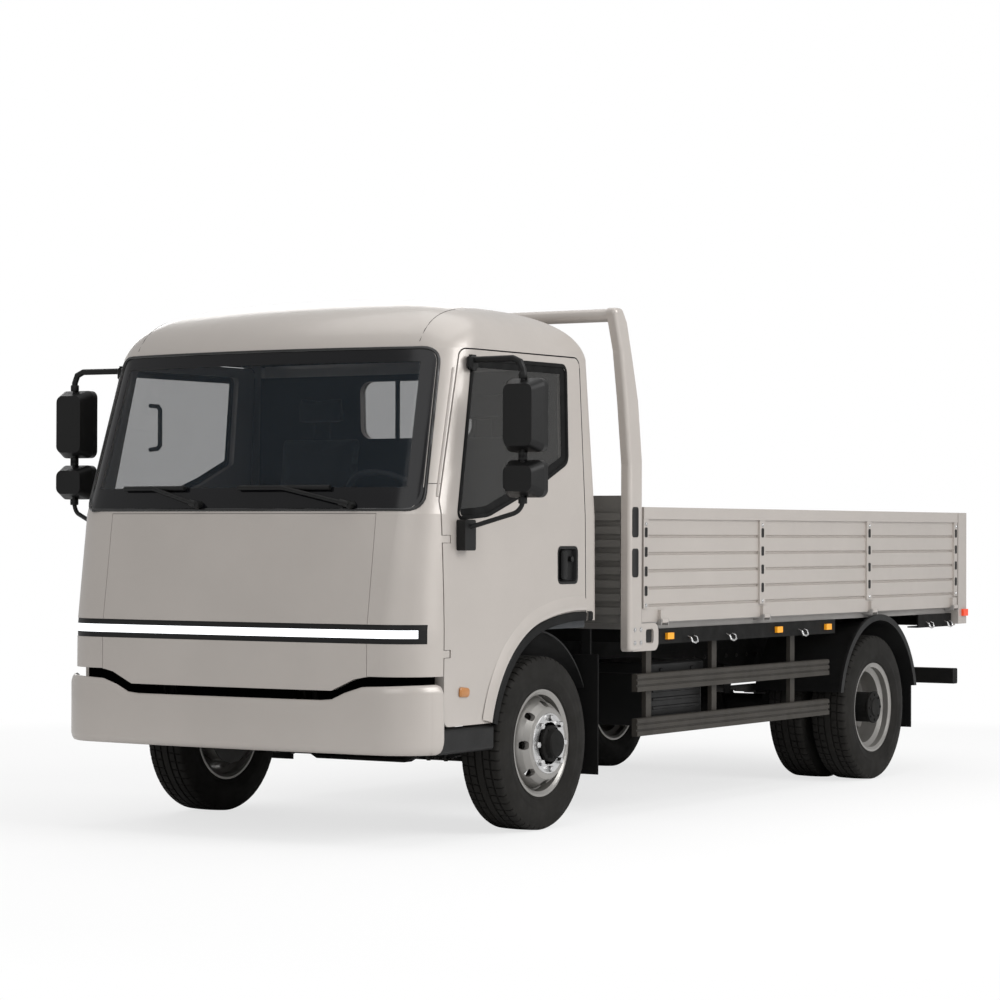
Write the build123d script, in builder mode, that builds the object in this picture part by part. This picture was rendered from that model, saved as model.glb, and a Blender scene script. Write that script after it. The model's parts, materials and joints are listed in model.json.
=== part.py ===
from build123d import *
import math
import os

os.makedirs("parts", exist_ok=True)

# Light cab-over flatbed truck. Millimetres, up is +Z, the nose points to -Y, the vehicle's left is +X.
# The origin is on the ground under the middle of the whole vehicle.

# Overall layout
wheelbase = 3350
front_overhang = 1065
rear_overhang = 1235
overall_length = front_overhang + wheelbase + rear_overhang
front_axle_y = front_overhang - overall_length / 2
rear_axle_y = front_axle_y + wheelbase
tail_y = rear_axle_y + rear_overhang

# Clearances
seat_gap = 0.3          # between pieces that sit on each other
panel_gap = 6           # open seam round a door or a drop side
running_gap = 2         # between a turning piece and its carrier

# Tyres and wheels
tyre_radius = 383.5
tyre_width = 210
bead_radius = 222
flange_radius = 236
rim_half_width = 88
wheel_z = tyre_radius
front_wheel_x = 855     # centre plane of a front tyre
rear_outer_x = 915      # centre planes of the twin rear tyres
rear_inner_x = 665
rear_hub_outer = 985     # ends of a rear hub
rear_hub_inner = 500
hand_holes = 8
hand_hole_circle = 172
stud_circle = 122

# Steering
kingpin_x = 700
kingpin_radius = 15
steering_arm = 180
tie_rod_z = 283
tie_rod_radius = 14

# Ladder frame
rail_outer_x = 375
rail_height = 180
rail_bottom_z = 520
rail_flange = 60
rail_wall = 6
rail_front = -930       # distance behind the front axle, as all stations below are
rail_rear = 4430
rail_top_z = rail_bottom_z + rail_height

# Cab
cab_wall = 45
front_skin = 20
glass_thickness = 5
glass_inset = 12
windshield_inset = 2
windshield_thickness = 6
floor_z = 880
floor_thickness = 50
tilt_pivot_station = -975
tilt_pivot_z = 660

# Load bed
bed_half_width = 1030
bed_front = 765
board_bottom_z = 896
board_top_z = 1428
board_thickness = 45
board_pivot_out = 16    # hinge axis, this far outside the face of a board
floor_top_z = 890
bed_floor_thickness = 28
bed_floor_half_width = 984
post_front = 4440


def aft(distance):
    """Y of a station, given as its distance behind the front axle."""
    return front_axle_y + distance


def slab(x_span, y_span, z_span, mode=Mode.ADD):
    """Box between two values on each axis."""
    spans = (x_span, y_span, z_span)
    with Locations(tuple((low + high) / 2 for low, high in spans)):
        Box(*(high - low for low, high in spans), mode=mode)


def bar(start, end, radius, mode=Mode.ADD):
    """Round bar from one point to another."""
    path = Vector(*end) - Vector(*start)
    with BuildSketch(Plane(origin=start, z_dir=path.normalized())) as section:
        Circle(radius)
    extrude(section.sketch, amount=path.length, mode=mode)


def side_prism(points, x_span, corner=0, mode=Mode.ADD):
    """Side-view outline of (station, height) points, carried across from one X to another."""
    with BuildSketch(Plane.YZ.offset(x_span[0])) as outline:
        with BuildLine():
            Polyline([(aft(station), height) for station, height in points], close=True)
        make_face()
        if corner:
            fillet(outline.vertices(), corner)
    extrude(outline.sketch, amount=x_span[1] - x_span[0], mode=mode)


def write(piece, label):
    """Label a finished piece and write its STEP file."""
    piece.part.label = label
    export_step(piece.part, f"parts/{label}.step")


# Cab form: level sections from the sill to the crown of the roof.
# height, half width, nose ahead of the axle, bow of the nose, tail behind it, front corner, level share
cab_sections = (
    (480, 955, 1040, 50, 485, 200, 0.0),
    (900, 960, 1040, 50, 485, 215, 0.0),
    (1385, 957, 1000, 100, 485, 190, 0.0),
    (2090, 925, 800, 125, 455, 200, 0.0),
    (2172, 900, 745, 125, 405, 205, 0.3),
    (2240, 840, 665, 120, 290, 215, 0.6),
    (2292, 700, 545, 100, 130, 190, 0.85),
    (2328, 425, 400, 60, -60, 150, 1.0),
)
straight_sections = 4
rear_corner = 60
least_corner = 20


def cab_plan(section, inset, height):
    """Level outline of the cab at one section, drawn in by an inset."""
    _, half, nose, bow, tail, corner, _ = section
    side = half - inset
    front_y = aft(-nose) + inset
    side_y = front_y + bow
    rear_y = aft(tail) - inset
    with BuildSketch(Plane.XY.offset(height)) as plan:
        with BuildLine():
            ThreePointArc((-side, side_y), (0, front_y), (side, side_y))
            Polyline((side, side_y), (side, rear_y), (-side, rear_y), (-side, side_y))
        make_face()
        fillet(plan.vertices().group_by(Axis.Y)[0], max(corner - inset, least_corner))
        fillet(plan.vertices().group_by(Axis.Y)[-1], max(rear_corner - inset, least_corner))
    return plan.sketch


def cab_form(inset):
    """Solid form of the cab, drawn in by a wall thickness all round."""
    zones = ((cab_sections[:straight_sections], True), (cab_sections[straight_sections - 1:], False))
    with BuildPart() as form:
        for sections, ruled in zones:
            loft([cab_plan(row, inset, row[0] - inset * row[-1]) for row in sections], ruled=ruled)
    return form.part


cab_outer = cab_form(0)
cab_inner = cab_form(cab_wall)
cab_under_skin = cab_form(front_skin)
cab_under_skin_gap = cab_form(front_skin + seat_gap)
screen_outer = cab_form(windshield_inset)
screen_inner = cab_form(windshield_inset + windshield_thickness)
glass_outer = cab_form(glass_inset)
glass_inner = cab_form(glass_inset + glass_thickness)

# Outlines on the cab, as stations behind the front axle, or X, and heights
door_front = -815
door_rear = 358
door_bottom_z = 495
door_line = ((door_front, door_bottom_z), (door_front, 1440), (-612, 2086), (door_rear - 8, 2092),
             (door_rear, door_bottom_z))
arch_line = ((-405, 484), (-292, 706), (-17, 876), (130, 903), (300, 914), (700, 914))
door_window = ((-706, 1374), (-545, 2042), (226, 2046), (210, 1628), (30, 1554), (-10, 1536), (-470, 1390))
door_window_corner = 28
screen_line = ((-885, 1400), (885, 1400), (837, 2092), (-837, 2092))
screen_corner = 70
rear_window_half = 310
rear_window_z = (1750, 2020)
bumper_line = ((-1100, 681), (-690, 665), (-640, 655), (-530, 605), (530, 605), (640, 655), (690, 665),
               (1100, 681))          # top edge of the bumper, as X and height
nose_slot = 40                       # dark slot between the bumper and the front panel
panel_half_width = 700
panel_bottom_z = 600
panel_top_z = 1385
panel_end_z = 708
strip_z = 884
strip_height = 80
strip_half_width = 930
lens_height = 34
lens_half_width = 905
side_reach = (700, 1150)
front_depth = (-1150, door_front - panel_gap)


def arch_space(x_span, mode=Mode.SUBTRACT):
    """Space under the front wheel arch."""
    points = [(aft(station), height) for station, height in arch_line]
    with BuildSketch(Plane.YZ.offset(x_span[0])) as outline:
        with BuildLine():
            ThreePointArc(*points[:3])
            ThreePointArc(*points[2:5])
            Polyline(points[4], points[5], (points[5][0], 0), (points[0][0], 0), points[0])
        make_face()
    extrude(outline.sketch, amount=x_span[1] - x_span[0], mode=mode)


def side_outline(points, corner, grow, mode):
    """Carry a side-view outline across the left side of the cab."""
    with BuildSketch(Plane.YZ.offset(side_reach[0])) as outline:
        with BuildLine():
            Polyline([(aft(station), height) for station, height in points], close=True)
        make_face()
        fillet(outline.vertices(), corner)
        if grow:
            offset(amount=grow, mode=Mode.REPLACE)
    extrude(outline.sketch, amount=side_reach[1] - side_reach[0], mode=mode)


def front_outline(points, corner, grow, from_station, depth, mode):
    """Carry a front-view outline forward from a station."""
    with BuildSketch(Plane.XZ.offset(-aft(from_station))) as outline:
        with BuildLine():
            Polyline(points, close=True)
        make_face()
        fillet(outline.vertices(), corner)
        if grow:
            offset(amount=grow, mode=Mode.REPLACE)
    extrude(outline.sketch, amount=depth, mode=mode)


def rear_window_outline(grow, mode):
    low, high = rear_window_z
    corners = ((-rear_window_half, low), (rear_window_half, low), (rear_window_half, high),
               (-rear_window_half, high))
    front_outline(corners, 55, grow, 600, 400, mode)


def band(outer, inner, x_half, z_span, grow=0):
    """Front stretch of the skin between two cab forms, within a height band."""
    with BuildPart() as stretch:
        add(outer)
        add(inner, mode=Mode.SUBTRACT)
        slab((-x_half - grow, x_half + grow), (aft(front_depth[0]), aft(front_depth[1])),
             (z_span[0] - grow, z_span[1] + grow), mode=Mode.INTERSECT)
    return stretch.part


strip_span = (strip_z - strip_height / 2, strip_z + strip_height / 2)
lens_span = (strip_z - lens_height / 2, strip_z + lens_height / 2)

# Front panel between the windshield and the bumper
with BuildPart() as front_panel:
    add(band(cab_outer, cab_under_skin, panel_half_width, (panel_bottom_z, panel_top_z)))
    add(band(cab_outer, cab_inner, strip_half_width, strip_span, seat_gap), mode=Mode.SUBTRACT)
    edge = tuple((x, height + nose_slot) for x, height in bumper_line)
    front_outline(edge + ((1100, 300), (-1100, 300)), 1, 0, 0, 1200, Mode.SUBTRACT)
write(front_panel, "front_panel")

# Light strip across the nose: dark housing and its lens
with BuildPart() as light_strip_housing:
    add(band(screen_outer, cab_under_skin, strip_half_width, strip_span))
    add(band(cab_outer, screen_inner, lens_half_width, lens_span, seat_gap), mode=Mode.SUBTRACT)
write(light_strip_housing, "light_strip_housing")

with BuildPart() as light_strip_lens:
    add(band(screen_outer, screen_inner, lens_half_width, lens_span))
write(light_strip_lens, "light_strip_lens")

# Door hinges: lugs on the cab reach into notches of the door's front edge
door_pivot = (948, -780)
door_hinge_heights = (800, 1280)
lug_height = 30
lug_radius = 11
door_pin = 5
door_pin_reach = 14
door_sweep = 58         # reach of the door's front inner corner about its hinge, with room to spare


def door_lugs():
    """Fixed lugs and pins of the left door, shaped by the cab's own skin."""
    with BuildPart() as lugs:
        for height in door_hinge_heights:
            low, high = height - lug_height / 2, height + lug_height / 2
            bar((door_pivot[0], aft(door_pivot[1]), low), (door_pivot[0], aft(door_pivot[1]), high), lug_radius)
            slab((door_pivot[0] - lug_radius, door_pivot[0] + lug_radius),
                 (aft(door_front - panel_gap - 12), aft(door_pivot[1])), (low, high))
        add(cab_outer, mode=Mode.INTERSECT)
        for height in door_hinge_heights:
            reach = lug_height / 2 + door_pin_reach
            bar((door_pivot[0], aft(door_pivot[1]), height - reach),
                (door_pivot[0], aft(door_pivot[1]), height + reach), door_pin)
    return lugs.part


# Cab shell: floor, walls, pillars and roof, with the door openings and windows cut
hinge_arm_x = (350, 395)
pivot_pin_radius = 12
ear_radius = 24
ear_reach = 14          # from a tilt arm to the outer face of the ear beside it
arm_radius = 20
with BuildPart() as cab_shell:
    add(cab_outer)
    add(cab_inner, mode=Mode.SUBTRACT)
    slab((-1100, 1100), (aft(-1200), aft(600)), (300, panel_end_z), mode=Mode.SUBTRACT)
    slab((-1100, 1100), (aft(front_depth[1]), aft(600)), (300, floor_z), mode=Mode.SUBTRACT)
    side_outline(door_line, 40, panel_gap, Mode.SUBTRACT)
    arch_space(side_reach)
    mirror(about=Plane.YZ, mode=Mode.INTERSECT)
    add(band(cab_outer, cab_under_skin_gap, panel_half_width, (0, panel_top_z), 2), mode=Mode.SUBTRACT)
    add(band(cab_outer, cab_under_skin_gap, strip_half_width, strip_span, seat_gap), mode=Mode.SUBTRACT)
    front_outline(screen_line, screen_corner, 0, -450, 700, Mode.SUBTRACT)
    rear_window_outline(0, Mode.SUBTRACT)
with BuildPart() as floor_panel:
    add(cab_inner)
    half = cab_sections[1][1] - cab_wall - panel_gap
    slab((-half, half), (aft(-1200), aft(600)), (floor_z, floor_z + floor_thickness), mode=Mode.INTERSECT)
    for side in (-1, 1):
        bar((side * door_pivot[0], aft(door_pivot[1]), floor_z - 1),
            (side * door_pivot[0], aft(door_pivot[1]), floor_z + floor_thickness + 1), door_sweep, Mode.SUBTRACT)
with BuildPart() as hinge_arm:
    side_prism(((tilt_pivot_station - 10, tilt_pivot_z), (tilt_pivot_station + 20, tilt_pivot_z),
                (-900, floor_z + 10), (-985, floor_z + 10)), hinge_arm_x)
    bar((hinge_arm_x[0], aft(tilt_pivot_station), tilt_pivot_z),
        (hinge_arm_x[1], aft(tilt_pivot_station), tilt_pivot_z), arm_radius)
    bar((hinge_arm_x[0], aft(tilt_pivot_station), tilt_pivot_z),
        (hinge_arm_x[1], aft(tilt_pivot_station), tilt_pivot_z), pivot_pin_radius + seat_gap, Mode.SUBTRACT)
with BuildPart() as cab_floor:
    add(floor_panel.part)
    add(hinge_arm.part)
    add(mirror(hinge_arm.part, about=Plane.YZ))
write(cab_floor, "cab_floor")

# Panels of the shell: nose with its pillars, rear wall and roof
roof_joint_z = 2050
cab_ends = (-1200, 0, 700)
cab_reach_z = (300, roof_joint_z, 2500)
lugs = door_lugs()
for label, stations, heights in (("cab_shell", cab_ends[:2], cab_reach_z[:2]),
                                 ("cab_rear_wall", cab_ends[1:], cab_reach_z[:2]),
                                 ("cab_roof", cab_ends[::2], cab_reach_z[1:])):
    with BuildPart() as panel:
        add(cab_shell.part)
        slab((-1100, 1100), (aft(stations[0]), aft(stations[1])), heights, mode=Mode.INTERSECT)
        if label == "cab_shell":
            add(lugs)
            add(mirror(lugs, about=Plane.YZ))
    write(panel, label)

# Windows
with BuildPart() as windshield:
    add(screen_outer)
    add(screen_inner, mode=Mode.SUBTRACT)
    front_outline(screen_line, screen_corner, -seat_gap, -450, 700, Mode.INTERSECT)
write(windshield, "windshield")

with BuildPart() as rear_window:
    add(glass_outer)
    add(glass_inner, mode=Mode.SUBTRACT)
    rear_window_outline(-seat_gap, Mode.INTERSECT)
write(rear_window, "rear_window")

# Doors with their glass, left side then mirrored
handle_pocket = ((111, 1079), (289, 1079), (289, 1249), (111, 1249))
handle_corner = 30
with BuildPart() as handle_recess:
    add(cab_outer)
    add(cab_under_skin, mode=Mode.SUBTRACT)
    side_outline(handle_pocket, handle_corner, 0, Mode.INTERSECT)
with BuildPart() as door_left:
    add(cab_outer)
    add(cab_inner, mode=Mode.SUBTRACT)
    side_outline(door_line, 40, 0, Mode.INTERSECT)
    arch_space(side_reach)
    side_outline(door_window, door_window_corner, 0, Mode.SUBTRACT)
    add(handle_recess.part, mode=Mode.SUBTRACT)
    for height in door_hinge_heights:
        notch = lug_height / 2 + running_gap
        slab((side_reach[0], side_reach[1]), (aft(door_front - 20), aft(door_pivot[1] + lug_radius + 3)),
             (height - notch, height + notch), mode=Mode.SUBTRACT)
        reach = lug_height / 2 + door_pin_reach + 1
        bar((door_pivot[0], aft(door_pivot[1]), height - reach),
            (door_pivot[0], aft(door_pivot[1]), height + reach), door_pin + seat_gap, Mode.SUBTRACT)
write(door_left, "door_left")

with BuildPart() as door_glass_left:
    add(glass_outer)
    add(glass_inner, mode=Mode.SUBTRACT)
    side_outline(door_window, door_window_corner, -seat_gap, Mode.INTERSECT)
write(door_glass_left, "door_glass_left")


# Door mirrors: two housings on a bent tube, carried by the door frame and a block on the door
mirror_x = 1207
mirror_station = -600
mirror_tube = 10
mirror_width = 190
mirror_depth = 95
mirror_housings = ((1645, 1955), (1455, 1612))      # bottom and top of each
mirror_block = ((930, 1002), (-725, -640), (1232, 1362))
mirror_top = (885, -575, 2040)
with BuildPart() as mirrors_left:
    with BuildLine() as tube_path:
        FilletPolyline(
            (mirror_top[0], aft(mirror_top[1]), mirror_top[2]),
            (mirror_x, aft(mirror_station), mirror_top[2]),
            (mirror_x, aft(mirror_station), 1400),
            (mirror_block[0][1] - 5, aft(-680), 1330), radius=60)
    with BuildSketch(Plane(origin=tube_path.line @ 0, z_dir=tube_path.line % 0)):
        Circle(mirror_tube)
    sweep()
    x_span, stations, heights = mirror_block
    slab(x_span, (aft(stations[0]), aft(stations[1])), heights)
    fillet(mirrors_left.edges().filter_by(Axis.X).group_by(SortBy.LENGTH)[-1], 12)
    for low, high in mirror_housings:
        face_y = aft(mirror_station) + mirror_depth / 2
        for width, height, y, corner in (
                (mirror_width, high - low, face_y, 34), (mirror_width, high - low, face_y - 30, 34),
                (mirror_width - 50, high - low - 50, face_y - mirror_depth, 30)):
            with BuildSketch(Plane.XZ.offset(-y)):
                with Locations((mirror_x, (low + high) / 2)):
                    RectangleRounded(width, height, corner)
        loft(ruled=True)
    add(cab_outer, mode=Mode.SUBTRACT)
write(mirrors_left, "mirrors_left")

for piece, label in ((door_left, "door_right"), (door_glass_left, "door_glass_right"),
                     (mirrors_left, "mirrors_right")):
    with BuildPart() as other_side:
        add(mirror(piece.part, about=Plane.YZ))
    write(other_side, label)

# Wheel arch liners under the cab floor
liner_radius = floor_z - wheel_z - seat_gap
liner_sheet = 8
liner_x = (600, 905)
liner_bottom_z = 500
liner_rear = 435
with BuildPart() as arch_liners:
    with BuildSketch(Plane.YZ.offset(liner_x[0])):
        with Locations((front_axle_y, wheel_z)):
            Circle(liner_radius)
            Circle(liner_radius - liner_sheet, mode=Mode.SUBTRACT)
        with Locations((aft(liner_rear) - 1000, liner_bottom_z + 500)):
            Rectangle(2000, 1000, mode=Mode.INTERSECT)
    extrude(amount=liner_x[1] - liner_x[0])
    mirror(about=Plane.YZ)
write(arch_liners, "arch_liners")

# Wiper arms on the cowl
wiper_stations = ((585, 14, 473), (-190, -642, -282))     # pivot X and the two ends of the blade
wiper_pivot_z = 1424
wiper_blade_z = 1496
wiper_lift = 16


def screen_point(x, height, lift):
    """Point in front of the windshield, lifted forward off the glass."""
    low, high = cab_sections[2], cab_sections[3]
    share = (height - low[0]) / (high[0] - low[0])
    half, nose, bow = (low[i] + share * (high[i] - low[i]) for i in (1, 2, 3))
    return (x, aft(-nose + bow * (x / half) ** 2) + windshield_inset - lift, height)


with BuildPart() as wipers:
    for pivot, tip, heel in wiper_stations:
        bar(screen_point(pivot, wiper_pivot_z, wiper_lift + 10), screen_point(pivot, wiper_pivot_z, seat_gap), 16)
        middle = (tip + heel) / 2
        bar(screen_point(pivot, wiper_pivot_z, wiper_lift + 4), screen_point(middle, wiper_blade_z, wiper_lift), 7)
        bar(screen_point(tip, wiper_blade_z, wiper_lift), screen_point(heel, wiper_blade_z, wiper_lift), 8)
    add(screen_outer, mode=Mode.SUBTRACT)
write(wipers, "wipers")

# Dashboard with its foot on the floor
floor_surface = floor_z + floor_thickness
dash_half_width = 740
with BuildPart() as dashboard:
    side_prism(((-880, 1060), (-640, 1100), (-560, 1290), (-620, 1405), (-800, 1425), (-850, 1385)),
               (-dash_half_width, dash_half_width), 20)
    slab((-130, 130), (aft(-870), aft(-670)), (floor_surface + seat_gap, 1090))
write(dashboard, "dashboard")

# Steering wheel, on the left
wheel_centre = (430, -410, 1440)
steering_wheel_radius = 205
column_tilt = 38
with BuildPart() as steering_wheel:
    hub = Vector(wheel_centre[0], aft(wheel_centre[1]), wheel_centre[2])
    up = Vector(0, math.sin(math.radians(column_tilt)), math.cos(math.radians(column_tilt)))
    with BuildSketch(Plane(origin=hub, x_dir=(1, 0, 0), z_dir=up)):
        Circle(45)
        with PolarLocations(0, 3, start_angle=90):
            Rectangle(steering_wheel_radius, 32, align=(Align.MIN, Align.CENTER))
    extrude(amount=-18)
    with Locations(Plane(origin=hub, x_dir=(1, 0, 0), z_dir=up)):
        Torus(steering_wheel_radius, 14)
    column = hub - up * 330
    bar(tuple(hub), (column.X, column.Y, column.Z), 22)
    add(dashboard.part, mode=Mode.SUBTRACT)
write(steering_wheel, "steering_wheel")

# Seats: plinths on the floor, soft cushions, backs and headrests
seat_x = (450, -450)
cushion_top = 1240
plinth_top = 1090
seat_back_station = 145
with BuildPart() as seat_plinths:
    for x in seat_x:
        slab((x - 200, x + 200), (aft(-230), aft(270)), (floor_surface + seat_gap, plinth_top))
write(seat_plinths, "seat_plinths")
with BuildPart() as seats:
    for x in seat_x:
        slab((x - 245, x + 245), (aft(-290), aft(seat_back_station)), (plinth_top + seat_gap, cushion_top))
        side_prism(((seat_back_station + seat_gap, plinth_top + seat_gap), (270, plinth_top + seat_gap),
                    (350, 1780), (255, 1780), (seat_back_station + 25, cushion_top + 10),
                    (seat_back_station + seat_gap, cushion_top - 10)), (x - 235, x + 235))
        slab((x - 60, x + 60), (aft(285), aft(325)), (1770, 1830))
        side_prism(((255, 1810), (262, 1955), (325, 1955), (338, 1810)), (x - 130, x + 130))
write(seats, "seats")

# Front bumper, hung from the frame on two brackets
bumper_z = (383, 680)
bumper_out = 25
bumper_back = 7
bumper_end = -835
bumper_bracket_z = (525, 585)
bumper_bracket_x = (hinge_arm_x[0] + 1, rail_outer_x)
with BuildPart() as bumper:
    low, high = bumper_z
    plan = cab_sections[1]
    extrude(cab_plan(plan, -bumper_out, low), amount=high - low)
    extrude(cab_plan(plan, -bumper_back, low), amount=high - low, mode=Mode.SUBTRACT)
    slab((-1100, 1100), (aft(bumper_end), aft(1000)), (0, 1000), mode=Mode.SUBTRACT)
    front_outline(bumper_line + ((1100, 900), (-1100, 900)), 1, 0, 0, 1200, Mode.SUBTRACT)
    for side in (1, -1):
        slab(sorted((side * bumper_bracket_x[0], side * bumper_bracket_x[1])),
             (aft(-plan[2] - bumper_back - 3), aft(rail_front) - seat_gap), bumper_bracket_z)
write(bumper, "front_bumper")


# Cab steps, bracketed to the frame rails
step_x = (745, 950)
step_stations = (-832, -412)
step_z = (378, 488)
wheel_sweep = math.hypot(front_wheel_x + tyre_width / 2 - kingpin_x, tyre_radius) + 8
with BuildPart() as cab_steps:
    slab(step_x, (aft(step_stations[0]), aft(step_stations[1])), step_z)
    fillet(cab_steps.edges().filter_by(Axis.Y).group_by(Axis.X)[-1], 18)
    slab((step_x[0] - 1, step_x[1] - 40), (aft(step_stations[0] + 30), aft(step_stations[1] - 30)),
         (step_z[0] + 60, step_z[1]), mode=Mode.SUBTRACT)
    bar((kingpin_x, front_axle_y, step_z[0] - 1), (kingpin_x, front_axle_y, step_z[1] + 1), wheel_sweep,
        Mode.SUBTRACT)
    slab((rail_outer_x + seat_gap, step_x[0]), (aft(-760), aft(-700)), (rail_bottom_z + 10, rail_bottom_z + 50))
    slab((step_x[0] - 40, step_x[0]), (aft(-760), aft(-700)), (step_z[0], rail_bottom_z + 50))
    mirror(about=Plane.YZ)
write(cab_steps, "cab_steps")

# Ladder frame: two channel rails, cross members, spring hangers and the cab's tilt ears
cross_members = ((-880, 60, 100), (985, 60, 90), (1300, 60, 90), (2100, 60, 90), (2780, 70, 100),
                 (3950, 70, 100), (4395, 60, 150))        # station, length along Y, height
spring_x = 420
spring_width = 70
hanger_plate = 8
spring_pin = 11
front_spring_eyes = ((-560, 470), (560, 470))             # station and height
rear_spring_eyes = ((rear_axle_y - front_axle_y - 640, 500), (rear_axle_y - front_axle_y + 640, 500))
eye_radius = 26
with BuildPart() as chassis_frame:
    slab((rail_outer_x - rail_flange, rail_outer_x), (aft(rail_front), aft(rail_rear)),
         (rail_bottom_z, rail_top_z))
    slab((rail_outer_x - rail_flange, rail_outer_x - rail_wall), (aft(rail_front), aft(rail_rear)),
         (rail_bottom_z + rail_wall, rail_top_z - rail_wall), mode=Mode.SUBTRACT)
    for station, height in front_spring_eyes + rear_spring_eyes:
        for inner in (spring_x - spring_width / 2 - hanger_plate - 1, spring_x + spring_width / 2 + 1):
            side_prism(((station - 55, rail_bottom_z + 90), (station - 30, height - 30),
                        (station + 30, height - 30), (station + 55, rail_bottom_z + 90)),
                       (inner, inner + hanger_plate))
        slab((rail_outer_x - 1, spring_x + spring_width / 2 + 1 + hanger_plate),
             (aft(station - 45), aft(station + 45)), (rail_bottom_z + 70, rail_bottom_z + 100))
        bar((spring_x - spring_width / 2 - 2, aft(station), height),
            (spring_x + spring_width / 2 + 2, aft(station), height), spring_pin)
    for inner in (hinge_arm_x[0] - 2 - 12, hinge_arm_x[1] + 2):
        side_prism(((tilt_pivot_station - 14, tilt_pivot_z - 18), (tilt_pivot_station + 14, tilt_pivot_z - 18),
                    (-915, rail_bottom_z + 20), (-870, rail_bottom_z + 20), (-870, rail_top_z),
                    (-930, rail_top_z), (tilt_pivot_station + 10, tilt_pivot_z + 20)), (inner, inner + 12))
        bar((inner, aft(tilt_pivot_station), tilt_pivot_z),
            (inner + 12, aft(tilt_pivot_station), tilt_pivot_z), ear_radius)
    bar((hinge_arm_x[0] - 14, aft(tilt_pivot_station), tilt_pivot_z),
        (hinge_arm_x[1] + 14, aft(tilt_pivot_station), tilt_pivot_z), pivot_pin_radius)
    slab((rail_outer_x - 1, hinge_arm_x[1] + 14), (aft(-928), aft(-868)), (rail_bottom_z + 20, rail_top_z))
    mirror(about=Plane.YZ)
    for station, length, height in cross_members:
        top = rail_top_z - rail_wall - 1
        half = rail_outer_x - rail_wall - seat_gap
        if station < rail_front + 100:
            half = hinge_arm_x[0] - ear_reach - seat_gap
        slab((-half, half), (aft(station - length / 2), aft(station + length / 2)), (top - height, top))
write(chassis_frame, "chassis_frame")

# Springs: stepped leaf packs with eyes on the hanger pins
leaf = 11


def leaf_pack(axle_station, half_span, eye_z, seat_z, leaves):
    """One leaf pack on the left, sagging from its eyes to its seat on the axle."""
    x_span = (spring_x - spring_width / 2, spring_x + spring_width / 2)
    with BuildPart() as pack:
        for index in range(leaves):
            reach = half_span * (1 - index / (leaves + 0.6))
            drop = leaf * index
            share = (reach / half_span) ** 2
            rise = (eye_z - seat_z) * share
            ends = [aft(axle_station - reach), aft(axle_station + reach)]
            with BuildSketch(Plane.YZ.offset(x_span[0])) as outline:
                with BuildLine():
                    ThreePointArc((ends[0], seat_z + rise - drop), (aft(axle_station), seat_z - drop),
                                  (ends[1], seat_z + rise - drop))
                    ThreePointArc((ends[0], seat_z + rise - drop - leaf),
                                  (aft(axle_station), seat_z - drop - leaf),
                                  (ends[1], seat_z + rise - drop - leaf))
                    Line((ends[0], seat_z + rise - drop), (ends[0], seat_z + rise - drop - leaf))
                    Line((ends[1], seat_z + rise - drop), (ends[1], seat_z + rise - drop - leaf))
                make_face()
            extrude(outline.sketch, amount=spring_width)
        for side in (-1, 1):
            eye = aft(axle_station + side * half_span)
            bar((x_span[0], eye, eye_z), (x_span[1], eye, eye_z), eye_radius)
            bar((x_span[0], eye, eye_z), (x_span[1], eye, eye_z), spring_pin + seat_gap, Mode.SUBTRACT)
        bottom = seat_z - leaf * leaves
        slab((x_span[0] - 6, x_span[1] + 6), (aft(axle_station - 45), aft(axle_station + 45)),
             (bottom + 1, seat_z + 14))
    return pack.part


beam_top_z = 372
front_leaves = 3
rear_leaves = 5
axle_tube_radius = 52
rear_pad_z = wheel_z + axle_tube_radius + 10
with BuildPart() as leaf_springs:
    add(leaf_pack(0, front_spring_eyes[1][0], front_spring_eyes[0][1],
                  beam_top_z + seat_gap + leaf * front_leaves, front_leaves))
    add(leaf_pack(wheelbase, 640, rear_spring_eyes[0][1],
                  rear_pad_z + seat_gap + leaf * rear_leaves, rear_leaves))
    mirror(about=Plane.YZ)
write(leaf_springs, "leaf_springs")

# Front axle: dropped I-beam with kingpin bosses
boss_z = (336, 431)
boss_radius = 36
beam_half_width = 32
beam_web = 12
with BuildPart() as front_axle:
    with BuildSketch(Plane.XZ.offset(-front_axle_y)) as outline:
        with BuildLine():
            Polyline((-kingpin_x, 345), (-kingpin_x, 420), (-620, 420), (-500, beam_top_z),
                     (-300, beam_top_z), (-240, 340), (240, 340), (300, beam_top_z), (500, beam_top_z),
                     (620, 420), (kingpin_x, 420), (kingpin_x, 345), (620, 345), (500, beam_top_z - 70),
                     (300, beam_top_z - 70), (240, 270), (-240, 270), (-300, beam_top_z - 70),
                     (-500, beam_top_z - 70), (-620, 345), close=True)
        make_face()
    extrude(amount=beam_half_width, both=True)
    with BuildSketch(Plane.XZ.offset(-front_axle_y)) as pocket:
        with BuildLine():
            Polyline((-600, 402), (-500, beam_top_z - 14), (-296, beam_top_z - 14), (-236, 326), (236, 326),
                     (296, beam_top_z - 14), (500, beam_top_z - 14), (600, 402), (600, 360),
                     (500, beam_top_z - 56), (296, beam_top_z - 56), (236, 284), (-236, 284),
                     (-296, beam_top_z - 56), (-500, beam_top_z - 56), (-600, 360), close=True)
        make_face()
    for side in (-1, 1):
        extrude(pocket.sketch.moved(Location((0, side * (beam_web / 2), 0))),
                amount=-side * (beam_half_width), mode=Mode.SUBTRACT)
        x = side * kingpin_x
        bar((x, front_axle_y, boss_z[0]), (x, front_axle_y, boss_z[1]), boss_radius)
        bar((x, front_axle_y, boss_z[0]), (x, front_axle_y, boss_z[1]), kingpin_radius + seat_gap,
            Mode.SUBTRACT)
        slab((side * spring_x - 48, side * spring_x + 48), (aft(-48), aft(48)),
             (beam_top_z - 14, beam_top_z))
write(front_axle, "front_axle")

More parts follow.
